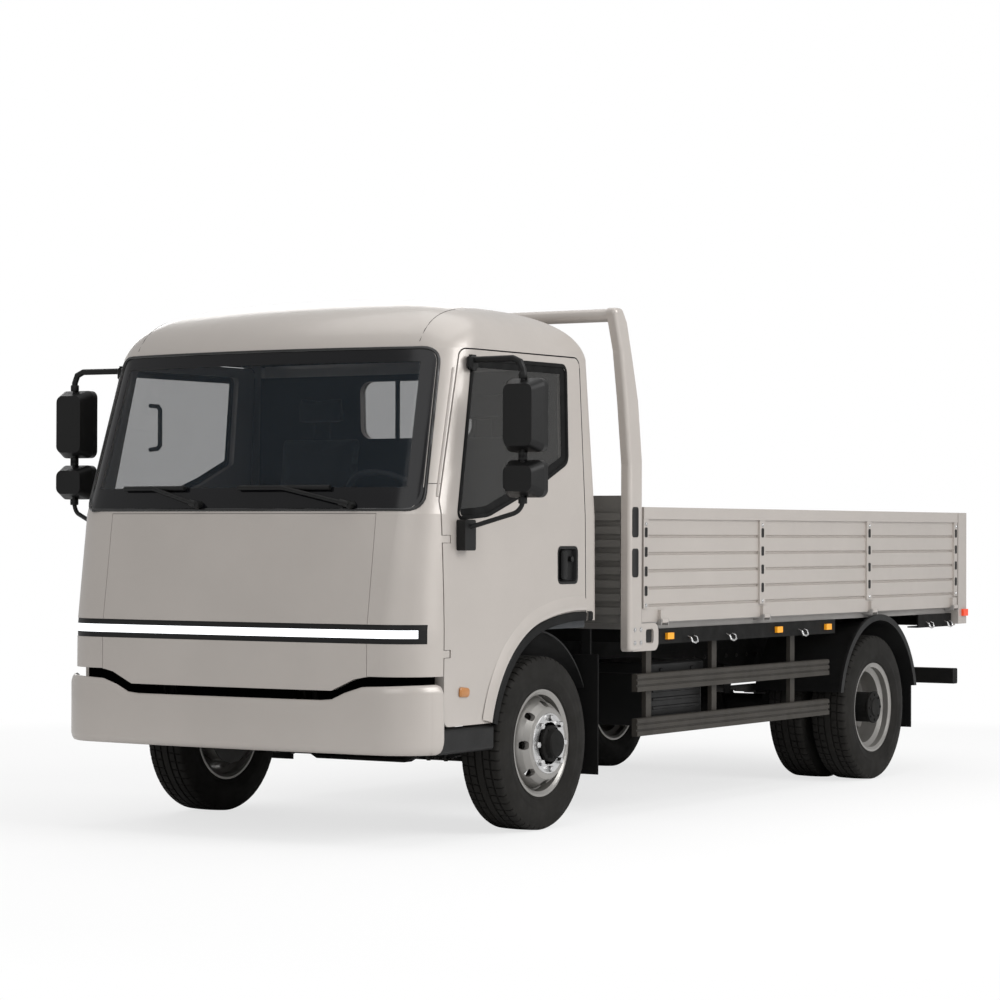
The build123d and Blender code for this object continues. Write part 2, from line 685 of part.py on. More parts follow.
# Steering knuckles: yoke, kingpin, spindle, brake backing plate and steering arm
spindle_radius = 30
spindle_end_x = 930
backing_x = (748, 752)
knuckle_arm_z = (303, 323)
ball_stud = 8
with BuildPart() as knuckle_left:
    x, y = kingpin_x, front_axle_y
    bar((x, y, boss_z[0] - 30), (x, y, boss_z[1] + 30), kingpin_radius)
    for low, high in ((boss_z[0] - 33, boss_z[0] - running_gap), (boss_z[1] + running_gap, boss_z[1] + 32)):
        bar((x, y, low), (x, y, high), boss_radius)
        slab((x, x + 48), (y - boss_radius, y + boss_radius), (low, high))
    slab((x + boss_radius + running_gap, x + 48), (y - boss_radius, y + boss_radius),
         (boss_z[0] - 33, boss_z[1] + 32))
    bar((x + 40, y, wheel_z), (spindle_end_x, y, wheel_z), spindle_radius)
    bar((backing_x[0] - 1, y, wheel_z), (backing_x[1], y, wheel_z), 158)
    low, high = knuckle_arm_z
    slab((x - 22, x + 22), (y, y + steering_arm), (low, high))
    bar((x, y + steering_arm, low), (x, y + steering_arm, high), 24)
    bar((x, y + steering_arm, low), (x, y + steering_arm, high), ball_stud + seat_gap, Mode.SUBTRACT)
write(knuckle_left, "knuckle_left")
with BuildPart() as knuckle_right:
    add(mirror(knuckle_left.part, about=Plane.YZ))
write(knuckle_right, "knuckle_right")

with BuildPart() as tie_rod:
    y = front_axle_y + steering_arm
    bar((-kingpin_x, y, tie_rod_z), (kingpin_x, y, tie_rod_z), tie_rod_radius)
    for side in (-1, 1):
        x = side * kingpin_x
        bar((x, y, tie_rod_z - 17), (x, y, tie_rod_z + 17), 20)
        bar((x, y, tie_rod_z), (x, y, knuckle_arm_z[1] + 8), ball_stud)
write(tie_rod, "tie_rod")

# Wheels: tyre section and pressed steel rim, turned about the axle
tyre_section = ((bead_radius, 79.4), (238, 80.4), (300, tyre_width / 2), (368, 88), (tyre_radius, 76))
disc_offset = 125
disc_plate = 10
drum_radius = 152
hub_radius = 78


def tyre(centre_x, axle_y):
    """Tyre whose section is drawn as width against radius."""
    with BuildPart() as ring:
        with BuildSketch(Plane(origin=(centre_x, axle_y, wheel_z), x_dir=(1, 0, 0),
                               z_dir=(0, -1, 0))) as section:
            with BuildLine():
                (r0, w0), (r1, w1), (r2, w2), (r3, w3), (r4, w4) = tyre_section
                for side in (-1, 1):
                    Line((side * w0, r0), (side * w1, r1))
                    ThreePointArc((side * w1, r1), (side * w2, r2), (side * w3, r3))
                    Line((side * w3, r3), (side * w4, r4))
                Line((-w0, r0), (w0, r0))
                Line((-w4, r4), (w4, r4))
            make_face()
        revolve(section.sketch, Axis((centre_x, axle_y, wheel_z), (1, 0, 0)))
    return ring.part


def rim(centre_x, facing, axle_y):
    """Rim with its disc offset towards one side, hand holes through the disc."""
    barrel = ((-88, 236), (-81, 236), (-79.7, bead_radius - 0.3), (-48, bead_radius - 0.3), (-34, 198),
              (16, 198), (34, bead_radius - 0.3), (79.7, bead_radius - 0.3), (81, 236), (88, 236),
              (88, 226), (80, 213), (36, 213), (20, 189), (-36, 189), (-50, 213), (-80, 213), (-88, 226))
    disc = ((27, 206), (60, 196), (98, 178), (disc_offset - 3, 158), (disc_offset, 148),
            (disc_offset, 92), (disc_offset - disc_plate, 92), (disc_offset - disc_plate, 144),
            (88, 170), (52, 187), (20, 191))
    with BuildPart() as wheel:
        for outline in (barrel, disc):
            with BuildSketch(Plane(origin=(centre_x, axle_y, wheel_z), x_dir=(facing, 0, 0),
                                   z_dir=(0, -facing, 0))) as section:
                with BuildLine():
                    Polyline(outline, close=True)
                make_face()
            revolve(section.sketch, Axis((centre_x, axle_y, wheel_z), (1, 0, 0)))
        face = Plane(origin=(centre_x, axle_y, wheel_z), x_dir=(0, 1, 0), z_dir=(facing, 0, 0))
        with BuildSketch(face) as holes:
            with PolarLocations(hand_hole_circle, hand_holes):
                SlotCenterToCenter(14, 26, rotation=90)
        extrude(holes.sketch, amount=disc_offset + 5, mode=Mode.SUBTRACT)
    return wheel.part


def hub(outer_x, inner_x, facing, axle_y, flange_x):
    """Hub barrel, disc flange and brake drum, bored for the spindle."""
    with BuildPart() as piece:
        bar((inner_x, axle_y, wheel_z), (outer_x, axle_y, wheel_z), hub_radius)
        bar((flange_x - facing * 14, axle_y, wheel_z), (flange_x, axle_y, wheel_z), 146)
        bar((inner_x, axle_y, wheel_z), (inner_x + facing * 70, axle_y, wheel_z), drum_radius)
        bar((inner_x - facing, axle_y, wheel_z), (outer_x - facing * 25, axle_y, wheel_z),
            spindle_radius + seat_gap, Mode.SUBTRACT)
    return piece.part


front_hub_inner = backing_x[1] + running_gap
for side, name in ((1, "left"), (-1, "right")):
    with BuildPart() as front_tyre:
        add(tyre(side * front_wheel_x, front_axle_y))
    write(front_tyre, f"tyre_front_{name}")
    with BuildPart() as front_rim:
        add(rim(side * front_wheel_x, side, front_axle_y))
        flange = front_wheel_x + disc_offset - disc_plate
        add(hub(side * (flange + 22), side * front_hub_inner, side, front_axle_y, side * flange))
    write(front_rim, f"rim_front_{name}")
    with BuildPart() as twin_tyres:
        add(tyre(side * rear_outer_x, rear_axle_y))
        add(tyre(side * rear_inner_x, rear_axle_y))
    write(twin_tyres, f"tyres_rear_{name}")
    with BuildPart() as twin_rims:
        add(rim(side * rear_outer_x, -side, rear_axle_y))
        add(rim(side * rear_inner_x, side, rear_axle_y))
        add(hub(side * (rear_hub_outer), side * rear_hub_inner, side, rear_axle_y,
                side * (rear_inner_x + disc_offset - disc_plate)))
    write(twin_rims, f"rims_rear_{name}")

# Rear axle: banjo housing, tubes, spring pads and spindles
banjo_radius = 150
with BuildPart() as rear_axle:
    bar((-spring_x - 62, rear_axle_y, wheel_z), (spring_x + 62, rear_axle_y, wheel_z), axle_tube_radius)
    bar((-rear_hub_outer + 60, rear_axle_y, wheel_z), (rear_hub_outer - 60, rear_axle_y, wheel_z),
        spindle_radius)
    with BuildSketch(Plane.YZ.offset(0)):
        with BuildLine():
            Polyline((rear_axle_y - 290, 52 + wheel_z), (rear_axle_y - 110, 105 + wheel_z),
                     (rear_axle_y - 85, wheel_z), (rear_axle_y - 290, wheel_z), close=True)
        make_face()
    revolve(axis=Axis((0, rear_axle_y, wheel_z), (0, 1, 0)))
    with BuildSketch(Plane.YZ.offset(0)):
        with BuildLine():
            Polyline((rear_axle_y + 130, wheel_z), (rear_axle_y + 118, wheel_z + 70),
                     (rear_axle_y + 70, wheel_z + banjo_radius - 12), (rear_axle_y + 60, wheel_z + banjo_radius),
                     (rear_axle_y - 90, wheel_z + banjo_radius), (rear_axle_y - 100, wheel_z), close=True)
        make_face()
    revolve(axis=Axis((0, rear_axle_y, wheel_z), (0, 1, 0)))
    for side in (-1, 1):
        slab((side * spring_x - 48, side * spring_x + 48), (rear_axle_y - 50, rear_axle_y + 50),
             (wheel_z, rear_pad_z))
write(rear_axle, "rear_axle")

# Engine, gearbox and propeller shaft
engine_half_width = 270
engine_stations = (-420, 380)
engine_z = (505, 845)
with BuildPart() as engine:
    slab((-engine_half_width, engine_half_width), tuple(aft(s) for s in engine_stations), engine_z)
    for side in (-1, 1):
        slab(sorted((side * (engine_half_width - 5), side * (rail_outer_x - rail_wall - seat_gap))),
             (aft(-60), aft(40)), (rail_bottom_z + 40, rail_top_z - 40))
write(engine, "engine")

shaft_z = 520
shaft_start = (0, aft(900), shaft_z)
shaft_end = (0, rear_axle_y - 290 - seat_gap, wheel_z + 10)
with BuildPart() as gearbox:
    for station, width, height in ((engine_stations[1] + seat_gap, 400, 330), (620, 260, 250), (900, 150, 150)):
        with BuildSketch(Plane.XZ.offset(-aft(station))):
            with Locations((0, shaft_z)):
                RectangleRounded(width, height, 40)
    loft(ruled=True)
write(gearbox, "gearbox")
with BuildPart() as propeller_shaft:
    y0, y1 = shaft_start[1] + seat_gap, shaft_end[1]
    bar((0, y0, shaft_z), (0, y0 + 40, shaft_z), 55)
    bar((0, y1 - 40, wheel_z), (0, y1, wheel_z), 50)
    bar((0, y0 + 20, shaft_z), (0, y1 - 20, wheel_z), 38)
write(propeller_shaft, "propeller_shaft")

# Tanks and boxes hung on the rails
tank_stations = (1040, 1780)
tank_x = (-900, -420)
tank_z = (370, 700)
with BuildPart() as fuel_tank:
    slab(tank_x, tuple(aft(s) for s in tank_stations), tank_z)
    fillet(fuel_tank.edges().filter_by(Axis.Y), 60)
    for station in (1180, 1640):
        slab((tank_x[1] - 40, -rail_outer_x - seat_gap), (aft(station - 30), aft(station + 30)), (540, 690))
write(fuel_tank, "fuel_tank")

battery_stations = (1050, 1600)
with BuildPart() as battery_box:
    slab((470, 900), tuple(aft(s) for s in battery_stations), (400, 690))
    fillet(battery_box.edges().filter_by(Axis.Z), 25)
    slab((rail_outer_x + seat_gap, 500), (aft(1150), aft(1500)), (560, 690))
write(battery_box, "battery_box")

with BuildPart() as exhaust:
    bar((-590, aft(1950), 520), (-590, aft(2550), 520), 105)
    bar((-590, aft(1790), 520), (-590, aft(1955), 520), 32)
    bar((-590, aft(2545), 520), (-590, aft(2700), 520), 32)
    for station in (2050, 2450):
        slab((-520, -rail_outer_x - seat_gap), (aft(station - 20), aft(station + 20)), (560, 640))
write(exhaust, "exhaust")

# Load bed sizes
sleeper_x = (315, 375)
bearer_top_z = floor_top_z - bed_floor_thickness
bearer_height = 62
bearer_bottom_z = bearer_top_z - bearer_height
fender_clear = (2900, 3960)                 # stretch over the rear wheels
bearer_stations = (865, 1400, 1930, 2460, 2990, 3410, 3830, 4140, 4470)
edge_rail_x = (930, 995)
edge_rail_z = (bearer_bottom_z - 10, bearer_top_z)
edge_rail_wall = 8
edge_rail_stretches = ((bed_front + 5, 2895), (3965, post_front - 20))
tail_sill = 4525

# Headboard: two leaning posts, a top tube, foot plates and a ribbed bulkhead panel
hoop_x = (988, 1038)
post_line = ((630, 765), (750, 765), (750, 1640), (712, 1915), (663, 2085), (605, 2270), (560, 2330),
             (480, 2330), (548, 2140), (589, 1915), (630, 1620))
post_middle = 690
tube_place = (525, 2297)
top_tube_radius = 30
with BuildPart() as headboard_hoop:
    side_prism(post_line, hoop_x, 22)
    fillet(headboard_hoop.edges().filter_by(Axis.Z).group_by(Axis.X)[-1], 20)
    side_prism(((640, 765), (912, 765), (912, 892), (640, 892)), (hoop_x[1] - 28, hoop_x[1] - 8), 40)
    side_prism(((792, 798), (866, 798), (866, 866), (792, 866)), (hoop_x[1] - 18, hoop_x[1] + 2), 16,
               Mode.SUBTRACT)
    slab((edge_rail_x[1] + seat_gap, hoop_x[1] - 28), (aft(830), aft(900)), (800, 880))
    mirror(about=Plane.YZ)
    bar((-hoop_x[0] - 10, aft(tube_place[0]), tube_place[1]),
        (hoop_x[0] + 10, aft(tube_place[0]), tube_place[1]), top_tube_radius)
write(headboard_hoop, "headboard_hoop")

bulkhead_z = (floor_top_z + 2, 1480)
bulkhead_pitch = 62
with BuildPart() as bulkhead:
    low, high = bulkhead_z
    ribs = int((high - low - 60) / bulkhead_pitch)
    slab((-hoop_x[0] + seat_gap, hoop_x[0] - seat_gap), (aft(post_middle - 9), aft(post_middle + 9)), (low, high))
    for index in range(ribs):
        z = low + 40 + index * bulkhead_pitch
        slab((-hoop_x[0] + 25, hoop_x[0] - 25), (aft(post_middle - 21), aft(post_middle - 7)), (z, z + 34))
write(bulkhead, "bulkhead_panel")

# Drop sides and tailgate: pressed boards with grooves, strap posts and hinge knuckles
hinge_radius = 11
hinge_length = 56
hinge_pin = 5
lug_thickness = 8
eye_out = 9
board_outer = bed_half_width - 12
hinge_x = board_outer + board_pivot_out
hinge_z = board_bottom_z + 4
groove_heights = (965, 1045, 1125, 1205, 1285)
groove_height = 16
groove_depth = 10
strap_stations = (1990, 3250)
strap_width = 60
strap_bottom_z = 960


def board(inner, outer, start, stop):
    """Pressed board section of one drop side, running along Y."""
    with BuildPart() as panel:
        with BuildSketch(Plane.XZ.offset(-aft(start))) as section:
            with BuildLine():
                outline = [(outer + 12, board_top_z - 55), (outer + 12, board_top_z), (inner, board_top_z),
                           (inner, board_bottom_z), (outer, board_bottom_z)]
                for height in groove_heights:
                    outline += [(outer, height), (outer - groove_depth, height + 6),
                                (outer - groove_depth, height + groove_height - 6),
                                (outer, height + groove_height)]
                outline += [(outer, board_top_z - 55)]
                Polyline(outline, close=True)
            make_face()
        extrude(section.sketch, amount=-(stop - start))
    return panel.part


board_stations = (bed_front + 8, post_front - panel_gap - 3)
side_hinges = (956, 2013, 3291, 4380)
with BuildPart() as dropside_left:
    add(board(bed_half_width - board_thickness, board_outer, *board_stations))
    for station in strap_stations + (board_stations[0] + 22, board_stations[1] - 22):
        half = strap_width / 2 if station in strap_stations else 22
        slab((board_outer - groove_depth, board_outer + 10), (aft(station - half), aft(station + half)),
             (strap_bottom_z, board_top_z - 50))
    for station in side_hinges:
        ends = (aft(station - hinge_length / 2), aft(station + hinge_length / 2))
        bar((hinge_x, ends[0], hinge_z), (hinge_x, ends[1], hinge_z), hinge_radius)
        slab((board_outer - 2, hinge_x), ends, (hinge_z - hinge_radius + 1, hinge_z + hinge_radius + 40))
        bar((hinge_x, ends[0], hinge_z), (hinge_x, ends[1], hinge_z), hinge_pin + seat_gap, Mode.SUBTRACT)
write(dropside_left, "dropside_left")
with BuildPart() as dropside_right:
    add(mirror(dropside_left.part, about=Plane.YZ))
write(dropside_right, "dropside_right")

gate_half = 955
post_x = (gate_half + 7, bed_half_width)
gate_y = (4527, 4558)
gate_hinge_y = rear_overhang + wheelbase - hinge_radius
gate_hinges = (-gate_half + 120, 0, gate_half - 120)
with BuildPart() as tailgate:
    with BuildSketch(Plane.YZ.offset(-gate_half)) as section:
        with BuildLine():
            inner, outer = aft(gate_y[0]), aft(gate_y[1])
            outline = [(outer + 10, board_top_z - 55), (outer + 10, board_top_z), (inner, board_top_z),
                       (inner, board_bottom_z), (outer, board_bottom_z)]
            for height in groove_heights:
                outline += [(outer, height), (outer - groove_depth, height + 6),
                            (outer - groove_depth, height + groove_height - 6),
                            (outer, height + groove_height)]
            outline += [(outer, board_top_z - 55)]
            Polyline(outline, close=True)
        make_face()
    extrude(amount=2 * gate_half)
    for x in gate_hinges:
        ends = (x - hinge_length / 2, x + hinge_length / 2)
        bar((ends[0], aft(gate_hinge_y), hinge_z), (ends[1], aft(gate_hinge_y), hinge_z), hinge_radius)
        slab(ends, (outer - 2, aft(gate_hinge_y)), (hinge_z - hinge_radius + 1, hinge_z + hinge_radius + 40))
        bar((ends[0], aft(gate_hinge_y), hinge_z), (ends[1], aft(gate_hinge_y), hinge_z),
            hinge_pin + seat_gap, Mode.SUBTRACT)
write(tailgate, "tailgate")

# Deck with the fixed lugs and pins of the drop sides along its edges
lug_low_z = 880
lug_high_z = floor_top_z - 1
with BuildPart() as bed_floor:
    slab((-bed_floor_half_width, bed_floor_half_width), (aft(bed_front), aft(tail_sill)),
         (bearer_top_z + seat_gap, floor_top_z))
    for side in (-1, 1):
        corner = (side * (post_x[0] - seat_gap), side * (bed_floor_half_width + 1))
        slab(sorted(corner), (aft(post_front - seat_gap), aft(tail_sill + 1)),
             (bearer_top_z, floor_top_z + 1), mode=Mode.SUBTRACT)
        for station in side_hinges:
            for way in (-1, 1):
                start = aft(station + way * (hinge_length / 2 + 2))
                with BuildSketch(Plane.XZ.offset(-start)) as lug:
                    with BuildLine():
                        Polyline([(side * x, z) for x, z in (
                            (bed_floor_half_width - 4, lug_low_z), (bed_floor_half_width - 4, lug_high_z),
                            (hinge_x - eye_out - 1, lug_high_z), (hinge_x - eye_out, hinge_z),
                            (hinge_x + eye_out, hinge_z), (hinge_x + eye_out - 3, lug_low_z))], close=True)
                    make_face()
                extrude(lug.sketch, amount=-way * lug_thickness)
                bar((side * hinge_x, start, hinge_z), (side * hinge_x, start + way * lug_thickness, hinge_z),
                    eye_out)
            bar((side * hinge_x, aft(station - hinge_length / 2 - 3), hinge_z),
                (side * hinge_x, aft(station + hinge_length / 2 + 3), hinge_z), hinge_pin)
write(bed_floor, "bed_floor")

# Sleepers on the frame rails; bearers and edge rails on the sleepers
with BuildPart() as bed_sleepers:
    slab(sleeper_x, (aft(bed_front), aft(4500)), (rail_top_z + seat_gap, bearer_bottom_z - seat_gap))
    mirror(about=Plane.YZ)
write(bed_sleepers, "bed_sleepers")

with BuildPart() as bed_frame:
    for station in bearer_stations:
        over_wheel = fender_clear[0] < station < fender_clear[1]
        reach = sleeper_x[1] + 60 if over_wheel else edge_rail_x[0] - seat_gap
        slab((-reach, reach), (aft(station - 30), aft(station + 30)), (bearer_bottom_z, bearer_top_z))
    for side in (-1, 1):
        for start, stop in edge_rail_stretches:
            slab(sorted(side * x for x in edge_rail_x), (aft(start), aft(stop)), edge_rail_z)
            slab(sorted((side * (edge_rail_x[0] - 1), side * (edge_rail_x[1] - edge_rail_wall))),
                 (aft(start - 1), aft(stop + 1)), (edge_rail_z[0] + edge_rail_wall,
                 edge_rail_z[1] - edge_rail_wall), mode=Mode.SUBTRACT)
write(bed_frame, "bed_frame")

# Fixed rear corner posts on the deck's tail sill
sill_face = 4552
sill_top_z = 888
with BuildPart() as corner_posts:
    slab(post_x, (aft(post_front), aft(4580)), (bearer_top_z - 60, board_top_z))
    fillet(corner_posts.edges().filter_by(Axis.Z).sort_by(Axis.Y)[-2:].sort_by(Axis.X)[-1:], 30)
    slab((-gate_half - 8, gate_half + 8), (aft(tail_sill + seat_gap), aft(sill_face)), (790, sill_top_z))
    mirror(about=Plane.YZ)
    for x in gate_hinges:
        for side in (-1, 1):
            start = x + side * (hinge_length / 2 + 2)
            with BuildSketch(Plane.YZ.offset(start)) as lug:
                with BuildLine():
                    Polyline((aft(sill_face) - 4, 835), (aft(sill_face) - 4, sill_top_z - 10),
                             (aft(gate_hinge_y - eye_out), hinge_z), (aft(gate_hinge_y + eye_out), hinge_z),
                             (aft(sill_face + 6), 835), close=True)
                make_face()
            extrude(lug.sketch, amount=side * lug_thickness)
            bar((start, aft(gate_hinge_y), hinge_z), (start + side * lug_thickness, aft(gate_hinge_y), hinge_z),
                eye_out)
        bar((x - hinge_length / 2 - 3, aft(gate_hinge_y), hinge_z),
            (x + hinge_length / 2 + 3, aft(gate_hinge_y), hinge_z), hinge_pin)
write(corner_posts, "rear_sill_posts")

# Side guards: two grooved rails on brackets below the edge rails
guard_x = (952, 982)
guard_stations = (800, 2856)
guard_rails = ((368, 450), (574, 656))
guard_brackets = (960, 1620, 2480)
with BuildPart() as side_guards:
    for low, high in guard_rails:
        slab(guard_x, tuple(aft(s) for s in guard_stations), (low, high))
        fillet(side_guards.edges().filter_by(Axis.Y).group_by(Axis.X)[-1].group_by(Axis.Z)[-1], 10)
        for groove in (low + 22, low + 50):
            slab((guard_x[1] - 6, guard_x[1] + 1), tuple(aft(s) for s in guard_stations),
                 (groove, groove + 10), mode=Mode.SUBTRACT)
    for station in guard_brackets:
        slab((guard_x[0] - 22, guard_x[0]), (aft(station - 25), aft(station + 25)),
             (guard_rails[0][0] + 10, edge_rail_z[0] - seat_gap))
    mirror(about=Plane.YZ)
write(side_guards, "side_guards")

# Rear underrun bar on two arms below the frame rails
with BuildPart() as underrun_bar:
    slab((-1000, 1000), (aft(4435), aft(4500)), (463, 550))
    fillet(underrun_bar.edges().filter_by(Axis.X), 12)
    for side in (-1, 1):
        slab(sorted((side * 318, side * 368)), (aft(4330), aft(4440)), (480, rail_bottom_z - seat_gap))
write(underrun_bar, "rear_underrun_bar")

# Rear fenders: arched sheets with an outer lip and a hanging flap
fender_radius = 462
fender_sheet = 8
fender_shift = 55
fender_x = (505, bed_half_width - 12)
fender_lip = 16
lip_radius = 494
flap_station = 505
with BuildPart() as rear_fenders:
    centre_y = rear_axle_y + fender_shift
    with BuildSketch(Plane.YZ.offset(fender_x[0])):
        with Locations((centre_y, wheel_z)):
            Circle(fender_radius + fender_sheet)
            Circle(fender_radius, mode=Mode.SUBTRACT)
        with Locations((centre_y, wheel_z + 95 + 500)):
            Rectangle(2000, 1000, mode=Mode.INTERSECT)
    extrude(amount=fender_x[1] - fender_x[0])
    with BuildSketch(Plane.YZ.offset(fender_x[1] - fender_lip)):
        with Locations((centre_y, wheel_z)):
            Circle(lip_radius)
            Circle(fender_radius, mode=Mode.SUBTRACT)
        with Locations((centre_y, wheel_z + 95 + 500)):
            Rectangle(2000, 1000, mode=Mode.INTERSECT)
    extrude(amount=fender_lip)
    flap_y = centre_y + fender_radius - 12
    slab((fender_x[0] + 20, fender_x[1] - 20), (flap_y, flap_y + 10), (250, wheel_z + 130))
    for offset_y in (-230, 230):
        foot = wheel_z + math.sqrt((fender_radius + 2) ** 2 - (abs(offset_y) + 20) ** 2)
        slab((700, 760), (centre_y + offset_y - 20, centre_y + offset_y + 20), (foot, bearer_top_z))
    mirror(about=Plane.YZ)
write(rear_fenders, "rear_fenders")

# Front mudflaps behind the front wheels, each on a stay from the frame
with BuildPart() as front_mudflaps:
    slab((745, 950), (aft(486), aft(494)), (212, 756))
    slab((860, 905), (aft(494), aft(506)), (500, 870))
    slab((rail_outer_x + seat_gap, 905), (aft(506), aft(536)), (640, 680))
    slab((860, 905), (aft(494), aft(536)), (640, 680))
    mirror(about=Plane.YZ)
write(front_mudflaps, "front_mudflaps")

# Lamps
marker_stations = (1074, 2225, 2796)
marker_size = (14, 62, 30)
with BuildPart() as side_markers:
    for station in marker_stations:
        with Locations((edge_rail_x[1] + seat_gap + marker_size[0] / 2, aft(station),
                        (edge_rail_z[0] + edge_rail_z[1]) / 2)):
            Box(*marker_size)
    mirror(about=Plane.YZ)
write(side_markers, "side_markers")

with BuildPart() as tail_lamps:
    slab((700, 788), (aft(sill_face) + seat_gap, aft(4568)), (798, 878))
    slab((882, 945), (aft(sill_face) + seat_gap, aft(4568)), (798, 878))
    slab((bed_half_width + seat_gap, bed_half_width + 14), (aft(4485), aft(4550)), (846, 884))
    mirror(about=Plane.YZ)
write(tail_lamps, "tail_lamps")
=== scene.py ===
import json
import math

import bpy
from mathutils import Matrix, Vector
from mathutils.bvhtree import BVHTree


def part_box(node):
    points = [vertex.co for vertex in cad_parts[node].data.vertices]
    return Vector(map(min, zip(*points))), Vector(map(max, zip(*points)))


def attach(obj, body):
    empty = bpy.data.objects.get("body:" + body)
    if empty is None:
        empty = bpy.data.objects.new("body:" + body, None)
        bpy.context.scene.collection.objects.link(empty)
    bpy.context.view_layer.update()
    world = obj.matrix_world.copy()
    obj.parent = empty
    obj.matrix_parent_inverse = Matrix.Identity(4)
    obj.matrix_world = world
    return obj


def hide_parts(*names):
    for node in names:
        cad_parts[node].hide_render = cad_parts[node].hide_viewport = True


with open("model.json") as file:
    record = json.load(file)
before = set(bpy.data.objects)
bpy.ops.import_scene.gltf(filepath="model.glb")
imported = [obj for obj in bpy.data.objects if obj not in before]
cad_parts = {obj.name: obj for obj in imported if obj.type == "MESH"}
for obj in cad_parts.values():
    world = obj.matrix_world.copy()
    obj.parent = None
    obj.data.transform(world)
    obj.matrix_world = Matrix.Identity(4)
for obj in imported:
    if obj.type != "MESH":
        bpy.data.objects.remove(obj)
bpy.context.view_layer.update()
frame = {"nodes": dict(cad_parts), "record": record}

# Measures read from the frame, in metres
SIDES = (("left", 1), ("right", -1))


def middle(node):
    """Centre of a CAD node's box."""
    low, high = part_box(node)
    return (low + high) / 2


FRONT_AXLE = middle("tyre_front_left")
REAR_AXLE = middle("tyres_rear_left")
TYRE_HALF_WIDTH = (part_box("tyre_front_left")[1].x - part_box("tyre_front_left")[0].x) / 2
CAB_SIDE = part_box("cab_shell")[1].x


def aft(station):
    """Y of a station, given as its distance behind the front axle."""
    return FRONT_AXLE.y + station


# Camera at the photograph's viewing angle
CAMERA_PLACE = (7.72, -13.12, 1.306)
CAMERA_YAW = math.radians(31.62)
CAMERA_PITCH = math.radians(0.63)
CAMERA_ROLL = 0.003
CAMERA_LENS = 108.2


def make_camera():
    """Camera with a 36 mm sensor, turned by yaw, pitch and roll."""
    data = bpy.data.cameras.new("camera")
    data.lens = CAMERA_LENS
    data.sensor_width = 36
    data.clip_end = 200
    camera = bpy.data.objects.new("camera", data)
    bpy.context.collection.objects.link(camera)
    ahead = Vector((-math.sin(CAMERA_YAW) * math.cos(CAMERA_PITCH),
                    math.cos(CAMERA_YAW) * math.cos(CAMERA_PITCH), math.sin(CAMERA_PITCH)))
    level = Vector((math.cos(CAMERA_YAW), math.sin(CAMERA_YAW), 0))
    above = level.cross(ahead)
    right = level * math.cos(CAMERA_ROLL) + above * math.sin(CAMERA_ROLL)
    up = above * math.cos(CAMERA_ROLL) - level * math.sin(CAMERA_ROLL)
    turn = Matrix((right, up, -ahead)).transposed().to_4x4()
    camera.matrix_world = Matrix.Translation(CAMERA_PLACE) @ turn
    bpy.context.scene.camera = camera


make_camera()
bpy.context.scene.view_settings.view_transform = "Standard"


# Materials: one function makes a finish from a few named numbers
class Nodes:
    """Short ways to add and join the shader nodes of a material or a world."""

    def __init__(self, owner):
        owner.use_nodes = True
        self.owner = owner
        self.tree = owner.node_tree
        self.shader = self.tree.nodes.get("Principled BSDF")
        self.place = self.add("ShaderNodeTexCoord").outputs["Object"]

    def add(self, kind, **settings):
        node = self.tree.nodes.new(kind)
        for key, value in settings.items():
            setattr(node, key, value)
        return node

    def link(self, source, target):
        self.tree.links.new(source, target)

    def set(self, **values):
        """Uniform values of the shader's sockets, named with underscores for spaces."""
        for name, value in values.items():
            self.shader.inputs[name.replace("_", " ")].default_value = value

    def noise(self, scale, detail=4):
        node = self.add("ShaderNodeTexNoise")
        node.inputs["Scale"].default_value = scale
        node.inputs["Detail"].default_value = detail
        self.link(self.place, node.inputs["Vector"])
        return node.outputs["Fac"]

    def spread(self, source, low, high, start=0.3, end=0.7):
        """Carry the stretch from start to end over to the one from low to high."""
        node = self.add("ShaderNodeMapRange")
        for socket, value in (("From Min", start), ("From Max", end), ("To Min", low), ("To Max", high)):
            node.inputs[socket].default_value = value
        self.link(source, node.inputs["Value"])
        return node.outputs["Result"]

    def mix(self, factor, first, second):
        node = self.add("ShaderNodeMix", data_type="RGBA")
        self.link(factor, node.inputs["Factor"])
        for socket, value in ((node.inputs[6], first), (node.inputs[7], second)):
            if isinstance(value, tuple):
                socket.default_value = (*value, 1)
            else:
                self.link(value, socket)
        return node.outputs[2]

    def math(self, operation, first, second):
        node = self.add("ShaderNodeMath", operation=operation)
        for socket, value in zip(node.inputs, (first, second)):
            if isinstance(value, (int, float)):
                socket.default_value = value
            else:
                self.link(value, socket)
        return node.outputs[0]

    def bump(self, source, distance):
        node = self.add("ShaderNodeBump")
        node.inputs["Distance"].default_value = distance
        node.inputs["Strength"].default_value = 1.0
        self.link(source, node.inputs["Height"])
        self.link(node.outputs["Normal"], self.shader.inputs["Normal"])

    def seen(self):
        """One where the camera looks, straight or through a clear pane, and zero elsewhere."""
        path = self.add("ShaderNodeLightPath")
        return self.math("MAXIMUM", path.outputs["Is Camera Ray"], path.outputs["Is Transmission Ray"])

    def blend(self, share, first, second, output):
        """Send a blend of two shaders to the output."""
        mix = self.add("ShaderNodeMixShader")
        for source, socket in zip((share, first.outputs[0], second.outputs[0]), mix.inputs):
            self.link(source, socket)
        self.link(mix.outputs[0], self.tree.nodes[output].inputs["Surface"])


def new_material(name):
    return Nodes(bpy.data.materials.new(name))


